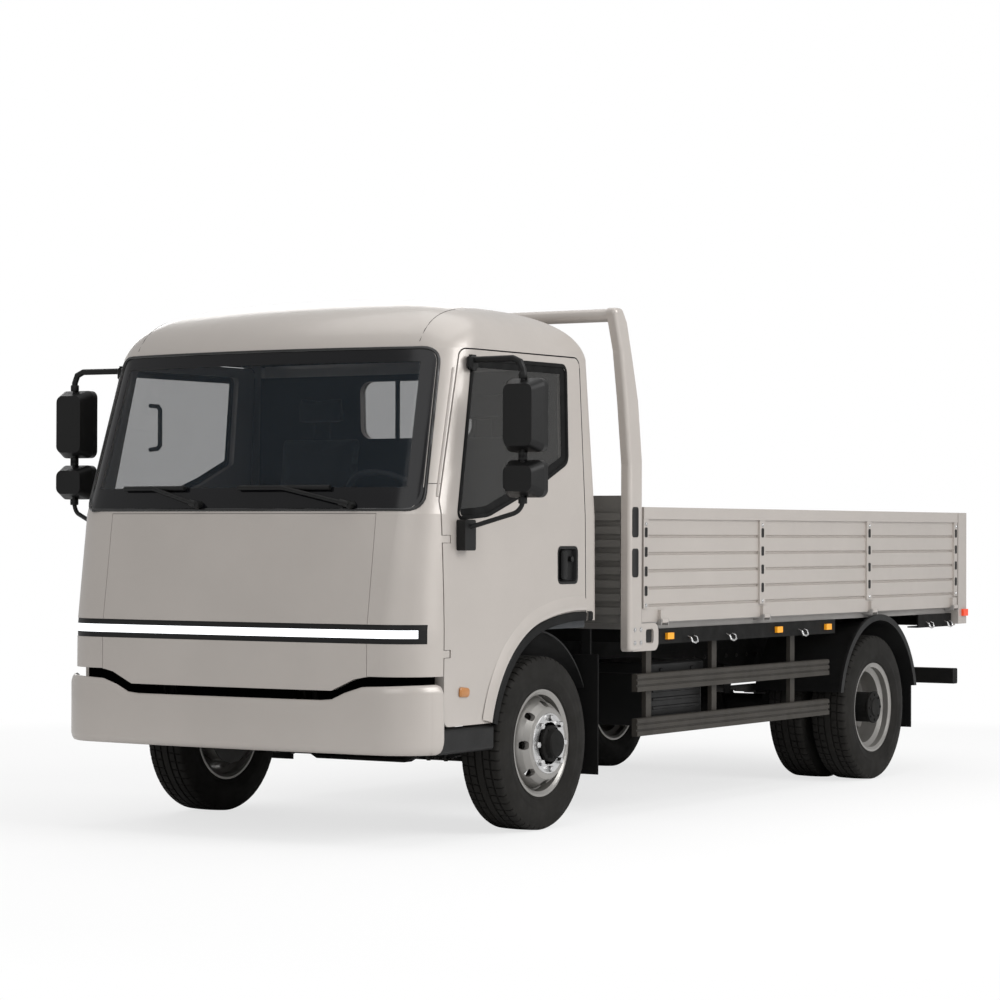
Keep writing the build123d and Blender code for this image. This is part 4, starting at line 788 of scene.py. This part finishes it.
def make_slot_shade():
    shape = Shape()
    low, high = BACKING_HEIGHTS
    for start, stop in BACKING:
        rows = []
        for k in range(13):
            x = start + (stop - start) * k / 12
            y = backing_y(x)
            rows.append([(x, y, low), (x, y, high), (x, y + 0.004, high), (x, y + 0.004, low)])
        shape.grid(rows, close_columns=True, caps=True)
    # painted shade in the slot between the nose and the bumper
    shape.piece("nose_slot_shade", "black_plastic", "cab", material=PAINTED_SHADE)
    tray = Shape()
    low, high = TRAY_HEIGHTS
    rows = []
    for k in range(25):
        x = TRAY_HALF * (k / 12 - 1)
        y = backing_y(x) - 0.030
        rows.append([(x, y, low), (x, y, high), (x, TRAY_REAR, high), (x, TRAY_REAR, low)])
    tray.grid(rows, close_columns=True, caps=True)
    # painted shade in the gap behind the bumper
    tray.piece("bumper_shade_tray", "black_plastic", "chassis", material=PAINTED_SHADE)


make_slot_shade()

# Rubber seals round the door windows
DOOR_WINDOW = ((-0.706, 1.374), (-0.545, 2.042), (0.226, 2.046), (0.210, 1.628), (0.030, 1.554),
               (-0.010, 1.536), (-0.470, 1.390))
DOOR_WINDOW_CORNER = 0.030
# away from the edge of the window, out from the skin
SEAL_SECTION = ((-0.030, -0.0118), (-0.024, -0.0080), (-0.003, -0.0050), (0.0, 0.0022), (0.009, 0.0030),
                (0.016, 0.0004))


def make_window_seals():
    outline = stretch_out(rounded(DOOR_WINDOW, DOOR_WINDOW_CORNER), 0.06)
    shape = Shape()
    shape.grid([[(skin_x(z) + out, aft(s), z) for s, z in inset(outline, away)]
                for away, out in SEAL_SECTION], close_columns=True)
    shape.pair("window_seal", "rubber_black", "door_{}")


make_window_seals()

# Wheel arch: a body-colour flare and a black trim on the door and on the cab behind it
ARCH_LOW, ARCH_TOP, ARCH_END = (-0.405, 0.484), (-0.017, 0.876), (0.300, 0.914)
ARCH = arc(ARCH_LOW, (-0.292, 0.706), ARCH_TOP, 24)[:-1] + arc(ARCH_TOP, (0.130, 0.903), ARCH_END, 12)
DOOR_END = 0.352
CAB_TRIM = (0.370, 0.408)
# away from the arch, out from the side
TRIM = ((0.0, -0.030), (0.0, 0.006), (0.005, 0.011), (0.034, 0.011), (0.041, 0.005), (0.042, -0.001))
FLARE = ((0.043, -0.001), (0.048, 0.010), (0.062, 0.014), (0.080, 0.011), (0.112, 0.0003))


def arch_rows(path, section):
    """Rows of points along the arch, spread outward by the section."""
    rows = []
    for i, (station, z) in enumerate(path):
        along = Vector(path[min(i + 1, len(path) - 1)]) - Vector(path[max(i - 1, 0)])
        along.normalize()
        rows.append([(CAB_SIDE - 0.0005 + out, aft(station - along.y * away), z + along.x * away)
                     for away, out in section])
    return rows


def make_arch_trim():
    door_path = ARCH + [(DOOR_END, ARCH_END[1])]
    cab_path = [(station, ARCH_END[1]) for station in CAB_TRIM]
    for name, path, section, slot, body in (
            ("arch_trim_door", door_path, TRIM, "black_plastic", "door_{}"),
            ("arch_flare", door_path, FLARE, "body_paint", "door_{}"),
            ("arch_trim_cab", cab_path, TRIM, "black_plastic", "cab")):
        shape = Shape()
        shape.grid(arch_rows(path, section))
        shape.pair(name, slot, body, material=ARCH_BLACK if section is TRIM else None)


make_arch_trim()

# Door handle in its recess, key lock and the amber repeater; layers are (grow, stand out)
HANDLE = rectangle((0.113, 1.081), (0.287, 1.247))
HANDLE_LAYERS = ((0.0, -0.019), (0.001, 0.0015), (-0.004, 0.0022), (-0.010, -0.001), (-0.016, -0.016))
HANDLE_CORNER = 0.028
GRIP = rectangle((0.150, 1.098), (0.196, 1.230))
GRIP_LAYERS = ((0, -0.018), (0, -0.004), (-0.005, 0.004), (-0.012, 0.006))
GRIP_CORNER = 0.02
LOCK = (0.246, 1.190)
LOCK_PROFILE = ((-0.018, 0.013), (-0.003, 0.013), (-0.001, 0.011), (-0.002, 0.004))
REPEATER = ((-0.700, 0.620), (-0.632, 0.618), (-0.628, 0.648), (-0.696, 0.655))
REPEATER_LAYERS = ((0.004, -0.002), (0.004, 0.003), (0.0, 0.007), (-0.004, 0.009))
REPEATER_CORNER = 0.012


def make_door_fittings():
    face = skin_x(1.16)
    handle, lens = Shape(), Shape()
    handle.plate(rounded(HANDLE, HANDLE_CORNER), face, HANDLE_LAYERS)
    handle.plate(rounded(GRIP, GRIP_CORNER), face, GRIP_LAYERS)
    handle.turned(LOCK_PROFILE, (face, aft(LOCK[0]), LOCK[1]), "x", 28)
    lens.plate(rounded(REPEATER, REPEATER_CORNER), skin_x(SKIN_HEIGHTS[0]), REPEATER_LAYERS)
    handle.pair("door_handle", "black_plastic", "door_{}")
    lens.pair("door_repeater", "lamp_amber", "door_{}", material=REPEATER_LENS)


make_door_fittings()

# Mirror faces behind the housings, and the clamps, arms and brackets that carry them
MIRROR_X = 1.207
MIRROR_STATION = -0.600
MIRROR_DEPTH = 0.095
MIRROR_WIDTH = 0.190
MIRROR_HEIGHTS = ((1.645, 1.955), (1.455, 1.612))
MIRROR_RIM = 0.012
MIRROR_LAYERS = ((0, -0.001), (0, 0.0008), (-0.002, 0.0012))
CLAMP = ((-0.014, 0.0105), (-0.014, 0.017), (-0.010, 0.019), (0.010, 0.019), (0.014, 0.017),
         (0.014, 0.0105))
ARM_RADIUS = 0.0135
ARM_BEND = 0.05
ARM_FOOT = (0.915, -0.575)
ARM_TOP, ARM_END = 2.040, 1.430
MOUNT_STATIONS = (-0.610, -0.545)
MOUNT_HEIGHTS = (1.995, 2.062)


def make_mirrors():
    faces, clamps = Shape(), Shape()
    station = aft(MIRROR_STATION)
    rear = station + MIRROR_DEPTH / 2
    half = MIRROR_WIDTH / 2 - MIRROR_RIM
    for low, high in MIRROR_HEIGHTS:
        pane = rectangle((MIRROR_X - half, low + MIRROR_RIM), (MIRROR_X + half, high - MIRROR_RIM))
        outline = rounded(pane, 0.03)
        faces.grid([[(x, rear + out, z) for x, z in inset(outline, grow)] for grow, out in MIRROR_LAYERS],
                   close_columns=True, caps=True)
        for z in (low - MIRROR_RIM, high + MIRROR_RIM):
            clamps.turned(CLAMP, (MIRROR_X, station, z), "z", 24, close=True)
    bend = [(MIRROR_X - ARM_BEND * back, station, ARM_TOP - ARM_BEND * down)
            for back, down in ((1, 0), (0.3, 0.3), (0, 1))]
    clamps.tube([(ARM_FOOT[0], aft(ARM_FOOT[1]), ARM_TOP), *bend, (MIRROR_X, station, MIRROR_HEIGHTS[0][1])],
                ARM_RADIUS, 14)
    clamps.tube([(MIRROR_X, station, MIRROR_HEIGHTS[1][0]), (MIRROR_X, station, ARM_END)], ARM_RADIUS, 14)
    skin = skin_x(2.0)
    clamps.block((skin - 0.004, aft(MOUNT_STATIONS[0]), MOUNT_HEIGHTS[0]),
                 (skin + 0.030, aft(MOUNT_STATIONS[1]), MOUNT_HEIGHTS[1]), 0.012)
    faces.pair("mirror_faces", "tinted_glass", "door_{}", material=MIRROR)
    clamps.pair("mirror_clamps", "black_plastic", "door_{}")


make_mirrors()

# Fine seams of the cab skin, along the roof and across the pillars
SEAM_RADIUS = 0.0015
ROOF_SEAM_X = 0.755
ROOF_SEAM = [-0.70 + 0.04 * k for k in range(8)]
PILLAR_SEAM = [0.893 + 0.008 * k for k in range(7)]
PILLAR_SEAM_Z = 1.512


def make_seams():
    shape = Shape()
    for way in (-1, 1):
        roof = [touch("cab_roof", (way * ROOF_SEAM_X, aft(station), 3), (0, 0, -1)) for station in ROOF_SEAM]
        pillar = [touch("cab_shell", (way * x, -5, PILLAR_SEAM_Z), (0, 1, 0)) for x in PILLAR_SEAM]
        shape.tube([tuple(hit) for hit in roof if hit and hit.z > 2.0], SEAM_RADIUS, 8)
        shape.tube([tuple(hit) for hit in pillar if hit], SEAM_RADIUS, 8)
    shape.piece("cab_seams", "rubber_black", "cab")


make_seams()

# Drip rail over each door
DRIP_LINE = ((-0.829, 1.300), (-0.829, 1.440), (-0.626, 2.104), (0.362, 2.110), (0.373, 1.000))
DRIP_LOW = 1.440
DRIP_CORNER = 0.055
DRIP_RADIUS = 0.0055


def make_drip_rails():
    shape = Shape()
    path = []
    for station, z in stretch_out(rounded(DRIP_LINE, DRIP_CORNER), 0.05):
        hit = touch("cab_shell", (5, aft(station), z), (-1, 0, 0)) if z > DRIP_LOW else None
        if hit and hit.x > 0.7:
            path.append(tuple(hit))
    shape.tube(path, DRIP_RADIUS, 10)
    shape.pair("drip_rail", "body_paint", "cab")


make_drip_rails()

# Boards: dark slots of painted shade and bolts in the strap posts
STRAPS = (1.990, 3.250)
END_STRAP = 0.022
STRAP_FACE = 1.028
STRAP_SLOTS = (1.020, 1.110, 1.200, 1.290)
STRAP_BOLTS = (0.975, 1.350)
STRAP_LAYERS = ((0.002, -0.001), (0.002, 0.0014), (0.0, 0.0014), (-0.002, 0.0004))
SLOT_HALF = 0.011
SLOT_TALL = 0.042


def make_board_fittings():
    slots, bolts = Shape(), Shape()
    low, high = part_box("dropside_left")
    ends = (low.y + END_STRAP - FRONT_AXLE.y, high.y - END_STRAP - FRONT_AXLE.y)
    for station in STRAPS + ends:
        for z in STRAP_SLOTS:
            outline = rectangle((station - SLOT_HALF, z), (station + SLOT_HALF, z + SLOT_TALL))
            # black plate: painted shade of the slot opening
            slots.plate(rounded(outline, 0.006), STRAP_FACE, STRAP_LAYERS)
        for z in STRAP_BOLTS:
            bolts.bolt((STRAP_FACE, aft(station), z), "x", 0.007, 0.005)
    slots.pair("strap_slot_shades", "black_plastic", "dropside_{}")
    bolts.pair("strap_bolts", "body_paint", "dropside_{}", material=CHROME)


make_board_fittings()

# Headboard: slots and pocket floor of each post, as black plates of painted shade, and foot bolts
POST_FACE = 1.038
POST_SLOTS = (((0.648, 1.107), (0.702, 1.235)), ((0.648, 1.290), (0.702, 1.425)))
POST_LAYERS = ((0.002, -0.001), (0.002, 0.0012), (0.0, 0.0012), (-0.002, 0.0002))
POCKET = ((0.796, 0.802), (0.862, 0.862))
POCKET_LAYERS = ((0.0, -0.002), (0.0, 0.0015), (-0.003, 0.003))
POST_BOLTS = [(station, z) for z in (0.805, 0.865) for station in (0.672, 0.728)]


def make_post_fittings():
    shape, bolts = Shape(), Shape()
    for corners in POST_SLOTS:
        # black plates: painted shade in the slots
        shape.plate(rounded(rectangle(*corners), 0.014), POST_FACE, POST_LAYERS)
    low, high = POCKET
    floor = touch("headboard_hoop", (5, aft((low[0] + high[0]) / 2), (low[1] + high[1]) / 2), (-1, 0, 0)).x
    # black plate on the pocket's floor: painted shade in the recess
    shape.plate(rounded(rectangle(low, high), 0.010), floor, POCKET_LAYERS)
    for station, z in POST_BOLTS:
        bolts.bolt((POST_FACE, aft(station), z), "x", 0.008, 0.006)
    shape.pair("post_slot_shades", "black_plastic", "chassis")
    bolts.pair("post_bolts", "body_paint", "chassis", material=CHROME)


make_post_fittings()

# Rope hooks under the bed edge, rail rivets and spring U-bolts
HOOKS = (1.30, 1.70, 2.50, 4.10, 4.36)
HOOK_Z = 0.800
# along the edge, out from it, up from the hook's height
HOOK = ((-0.03, -0.003, 0.02), (-0.03, 0.016, 0.012), (-0.026, 0.022, -0.006), (0, 0.022, -0.012),
        (0.026, 0.022, -0.006), (0.03, 0.016, 0.012), (0.03, -0.003, 0.02))
RAIL_X = 0.375
RIVET_ROWS = (0.560, 0.660)
RIVETS = [-0.86 + 0.12 * k for k in range(44)]
# axle, foot and top
U_BOLTS = ((FRONT_AXLE.y, 0.285, 0.440), (REAR_AXLE.y, 0.315, 0.540))
U_BOLT_GAP = 0.032
U_BOLT_LEGS = (0.374, 0.466)
# x and drop from the top
U_BOLT_CROWN = ((0.374, 0.03), (0.386, 0.005), (0.42, 0), (0.454, 0.005), (0.466, 0.03))


def make_hooks():
    shape = Shape()
    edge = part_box("bed_frame")[1].x
    for station in HOOKS:
        shape.tube([(edge + out, aft(station + along), HOOK_Z + up) for along, out, up in HOOK], 0.005, 10)
    shape.pair("rope_hooks", "spring_steel", "chassis", material=CHROME)


def make_rail_rivets():
    shape = Shape()
    for way, axis in ((-1, "-x"), (1, "x")):
        for station in RIVETS:
            for z in RIVET_ROWS:
                shape.bolt((way * RAIL_X, aft(station), z), axis, 0.008, 0.007)
    shape.piece("rail_rivets", "spring_steel", "chassis")


def make_u_bolts():
    shape = Shape()
    for axle, low, high in U_BOLTS:
        for way in (-1, 1):
            first, last = (way * x for x in U_BOLT_LEGS)
            for y in (axle - U_BOLT_GAP, axle + U_BOLT_GAP):
                crown = [(way * x, y, high - drop) for x, drop in U_BOLT_CROWN]
                shape.tube([(first, y, low), *crown, (last, y, low)], 0.007, 10)
                for x in (first, last):
                    shape.bolt((x, y, low + 0.012), "-z", 0.012, 0.012)
    shape.piece("spring_u_bolts", "spring_steel", "chassis")


make_hooks()
make_rail_rivets()
make_u_bolts()

# Tank straps and cap, battery box lid, exhaust clamps
TANK_INNER = -0.417
TANK_CORNER = 0.075
TANK_STRAP = 0.16
TANK_LIFT = 0.003
STRAP_SECTION = ((0, -0.02), (0.003, -0.019), (0.003, 0.019), (0, 0.02))
TANK_CAP = ((0.002, 0.048), (-0.030, 0.048), (-0.036, 0.044), (-0.040, 0.020), (-0.040, 0.003))
LID_DEEP = 0.425
LID_LAP = 0.004
LATCH_SET = 0.12
EXHAUST_X, EXHAUST_Z = -0.590, 0.520
# station and radius
EXHAUST_CLAMPS = ((1.93, 0.036), (2.57, 0.036), (2.05, 0.1085), (2.45, 0.1085))


def make_tank_fittings():
    shape = Shape()
    low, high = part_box("fuel_tank")
    outline = rounded(rectangle((low.x - TANK_LIFT, low.z - TANK_LIFT), (TANK_INNER, high.z + TANK_LIFT)),
                      TANK_CORNER, 8)
    for y in (low.y + TANK_STRAP, high.y - TANK_STRAP):
        shape.grid([[(x, y + offset, z) for x, z in inset(outline, away)] for away, offset in STRAP_SECTION],
                   close_columns=True)
    shape.turned(TANK_CAP, (low.x, low.y + 0.36, high.z - 0.10), "x", 40)
    shape.piece("tank_fittings", "spring_steel", "chassis")


def make_battery_fittings():
    shape = Shape()
    low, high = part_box("battery_box")
    shape.block((high.x - LID_DEEP, low.y - LID_LAP, high.z - 0.05),
                (high.x + LID_LAP, high.y + LID_LAP, high.z + 0.006), 0.008)
    for k in range(5):
        z = low.z + 0.035 + 0.04 * k
        shape.block((high.x - 0.004, low.y + 0.04, z), (high.x + 0.005, high.y - 0.04, z + 0.016), 0.003)
    for y in (low.y + LATCH_SET, high.y - LATCH_SET):
        shape.block((high.x, y - 0.016, high.z - 0.085), (high.x + 0.012, y + 0.016, high.z - 0.02), 0.004)
    shape.piece("battery_box_fittings", "black_plastic", "chassis")


def make_exhaust_clamps():
    shape = Shape()
    for station, radius in EXHAUST_CLAMPS:
        shape.turned([(-0.016, radius - 0.002), (-0.015, radius), (0.015, radius), (0.016, radius - 0.002)],
                     (EXHAUST_X, aft(station), EXHAUST_Z), "y", 40)
    shape.piece("exhaust_clamps", "spring_steel", "chassis", material=CHROME)


make_tank_fittings()
make_battery_fittings()
make_exhaust_clamps()

# Tail lamps: the chambers of the lens clusters, each with its near and far X
CHAMBERS = (("lamp_amber", 0.884, 0.912), ("lamp_red", 0.914, 0.943), ("lamp_red", 0.702, 0.742),
            ("lamp_white", 0.744, 0.786))
LENS_STATION = 4.568
LENS_HEIGHTS = (0.800, 0.876)


def make_lamp_lenses():
    lenses = {slot: Shape() for slot, near, far in CHAMBERS}
    rear = aft(LENS_STATION)
    for way in (-1, 1):
        for slot, near, far in CHAMBERS:
            x0, x1 = sorted((way * near, way * far))
            lenses[slot].block((x0, rear - 0.002, LENS_HEIGHTS[0]),
                               (x1, rear + 0.004, LENS_HEIGHTS[1]), 0.003)
    for slot, shape in lenses.items():
        shape.piece(slot.replace("lamp", "tail_lens"), slot, "chassis",
                    material=LENS_CLEAR if slot == "lamp_white" else None)


make_lamp_lenses()

# Inside the cab: grab handles on the front pillars and two bars across the rear window
GRAB_X = 0.800
GRAB_STATION = -0.560
GRAB_HEIGHTS = (1.680, 1.880)
GRAB_END = ((0, 0), (0.045, 0.004), (0.058, 0.020))      # inward, from the end
WINDOW_BAR_X = 0.105
WINDOW_BAR_HALF = 0.010


def make_inside_fittings():
    shape = Shape()
    low, high = GRAB_HEIGHTS
    y = aft(GRAB_STATION)
    for way in (-1, 1):
        lower = [(way * (GRAB_X - inward), y, low + on) for inward, on in GRAB_END]
        upper = [(way * (GRAB_X - inward), y, high - on) for inward, on in GRAB_END[::-1]]
        shape.tube(lower + upper, 0.010, 12)
    low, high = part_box("rear_window")
    for x in (WINDOW_BAR_X, -WINDOW_BAR_X):
        shape.block((x - WINDOW_BAR_HALF, low.y - 0.022, low.z - 0.01),
                    (x + WINDOW_BAR_HALF, low.y - 0.004, high.z + 0.01), 0.004)
    shape.piece("cab_grab_handles", "interior_dark", "cab")


make_inside_fittings()

# Seats: cushions, backs and headrests swelled by cloth pressure
SEATS = (("driver", 0.45), ("passenger", -0.45))
SEAT_BACK = ((0.165, 1.245), (0.215, 1.135), (0.275, 1.135), (0.335, 1.765), (0.270, 1.765))
HEADREST = ((0.268, 1.825), (0.276, 1.940), (0.312, 1.940), (0.324, 1.825))
SEAT_CORNER = 0.04
SEAT_VOXEL = 0.014
SEAT_PRESSURE = 4.0
SEAT_FRAMES = 20
SEAT_CAP = 0.022


def swell(obj):
    """Remesh a soft form finely, blow it up a little with cloth pressure, and smooth it."""
    scene = bpy.context.scene
    remesh = obj.modifiers.new("remesh", "REMESH")
    remesh.mode = "VOXEL"
    remesh.voxel_size = SEAT_VOXEL
    graph = bpy.context.evaluated_depsgraph_get()
    mesh = bpy.data.meshes.new_from_object(obj.evaluated_get(graph))
    obj.modifiers.clear()
    material = obj.data.materials[0]
    obj.data = mesh
    obj.data.materials.clear()
    obj.data.materials.append(material)
    start = [v.co.copy() for v in mesh.vertices]
    cloth = obj.modifiers.new("cloth", "CLOTH")
    cloth.settings.use_pressure = True
    cloth.settings.uniform_pressure_force = SEAT_PRESSURE
    cloth.settings.effector_weights.gravity = 0
    cloth.collision_settings.use_collision = False
    for step in range(1, SEAT_FRAMES + 1):
        scene.frame_set(step)
    graph = bpy.context.evaluated_depsgraph_get()
    swelled = bpy.data.meshes.new_from_object(obj.evaluated_get(graph))
    obj.modifiers.clear()
    scene.frame_set(1)
    for vertex, before in zip(swelled.vertices, start):
        move = vertex.co - before
        if move.length > SEAT_CAP:
            vertex.co = before + move.normalized() * SEAT_CAP
    obj.data = swelled
    obj.data.polygons.foreach_set("use_smooth", [True] * len(obj.data.polygons))
    smooth = obj.modifiers.new("smooth", "SUBSURF")
    smooth.levels = 1
    smooth.render_levels = 1


def seat_forms(x):
    """Cushion, back and headrest of one seat, a little smaller than the space that they fill."""
    cushion, back, headrest = Shape(), Shape(), Shape()
    cushion.block((x - 0.225, aft(-0.272), 1.108), (x + 0.225, aft(0.190), 1.222), 0.035)
    for form, outline, half in ((back, SEAT_BACK, 0.215), (headrest, HEADREST, 0.115)):
        form.prism([(aft(s), z) for s, z in rounded(outline, SEAT_CORNER)], x - half, x + half)
    return ("cushion", cushion), ("back", back), ("headrest", headrest)


def make_seats():
    first = None
    for name, x in SEATS:
        for part, form in seat_forms(x):
            obj = form.piece(f"{name}_{part}", "seat_fabric", "cab")
            obj.parent = None
            swell(obj)
            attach(obj, "cab")
            first = first or obj
    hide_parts("seats")
    frames = Shape()
    for name, x in SEATS:
        for post in (x - 0.045, x + 0.045):
            frames.tube([(post, aft(0.300), 1.740), (post, aft(0.305), 1.860)], 0.006, 12)
        frames.block((x - 0.21, aft(0.02), 1.085), (x + 0.21, aft(0.24), 1.112), 0.01)
    frames.piece("seat_frames", "interior_dark", "cab")


make_seats()

# Floor and soft studio light
FLOOR_REACH = 60
FLOOR_FADE = (3.2, 6.5)         # distances from the middle over which the floor goes over to plain white
FLOOR_WASH = 0.72               # share of plain white in the floor that the camera sees, under the shadow
WHITE = (1, 1, 1, 1)
WORLD_STRENGTH = 0.56           # of the light; the camera sees it at full strength


def make_floor():
    mesh = bpy.data.meshes.new("floor")
    corners = [(x * FLOOR_REACH, y * FLOOR_REACH, 0) for x, y in ((-1, -1), (1, -1), (1, 1), (-1, 1))]
    mesh.from_pydata(corners, [], [(0, 1, 2, 3)])
    floor = bpy.data.objects.new("floor", mesh)
    bpy.context.collection.objects.link(floor)
    n = new_material("floor")
    n.set(Base_Color=(0.86, 0.86, 0.86, 1), Roughness=0.9, Specular_IOR_Level=0.1)
    distance = n.add("ShaderNodeVectorMath", operation="LENGTH")
    n.link(n.place, distance.inputs[0])
    seen = n.seen()
    faded = n.math("MULTIPLY", n.spread(distance.outputs["Value"], 0, 1, *FLOOR_FADE), seen)
    white = n.add("ShaderNodeEmission")
    white.inputs["Color"].default_value = WHITE
    share = n.math("MAXIMUM", faded, n.math("MULTIPLY", seen, FLOOR_WASH))
    n.blend(share, n.shader, white, "Material Output")
    mesh.materials.append(n.owner)


def make_world():
    world = bpy.data.worlds.new("studio")
    bpy.context.scene.world = world
    n = Nodes(world)
    lighting, backdrop = n.tree.nodes["Background"], n.add("ShaderNodeBackground")
    for node, strength in ((lighting, WORLD_STRENGTH), (backdrop, 1.0)):
        node.inputs["Color"].default_value = WHITE
        node.inputs["Strength"].default_value = strength
    n.blend(n.seen(), lighting, backdrop, "World Output")


# name, place, aim, size, power
LAMPS = (
    ("side", (9.0, -1.0, 6.0), (0, 0, 1.0), 6.0, 640),
    ("front", (2.0, -10.0, 6.5), (0, -1.5, 1.2), 6.0, 150),
    ("top", (0.0, 0.0, 9.0), (0, 0, 0), 8.0, 230),
    ("back", (-8.0, 7.0, 5.5), (0, 0, 1.0), 6.0, 260),
)


def make_lamps():
    for name, place, aim, size, power in LAMPS:
        data = bpy.data.lights.new(name, "AREA")
        data.size = size
        data.energy = power
        obj = bpy.data.objects.new(name, data)
        bpy.context.collection.objects.link(obj)
        obj.location = place
        obj.rotation_euler = (Vector(aim) - Vector(place)).to_track_quat("-Z", "Y").to_euler()


make_floor()
make_world()
make_lamps()
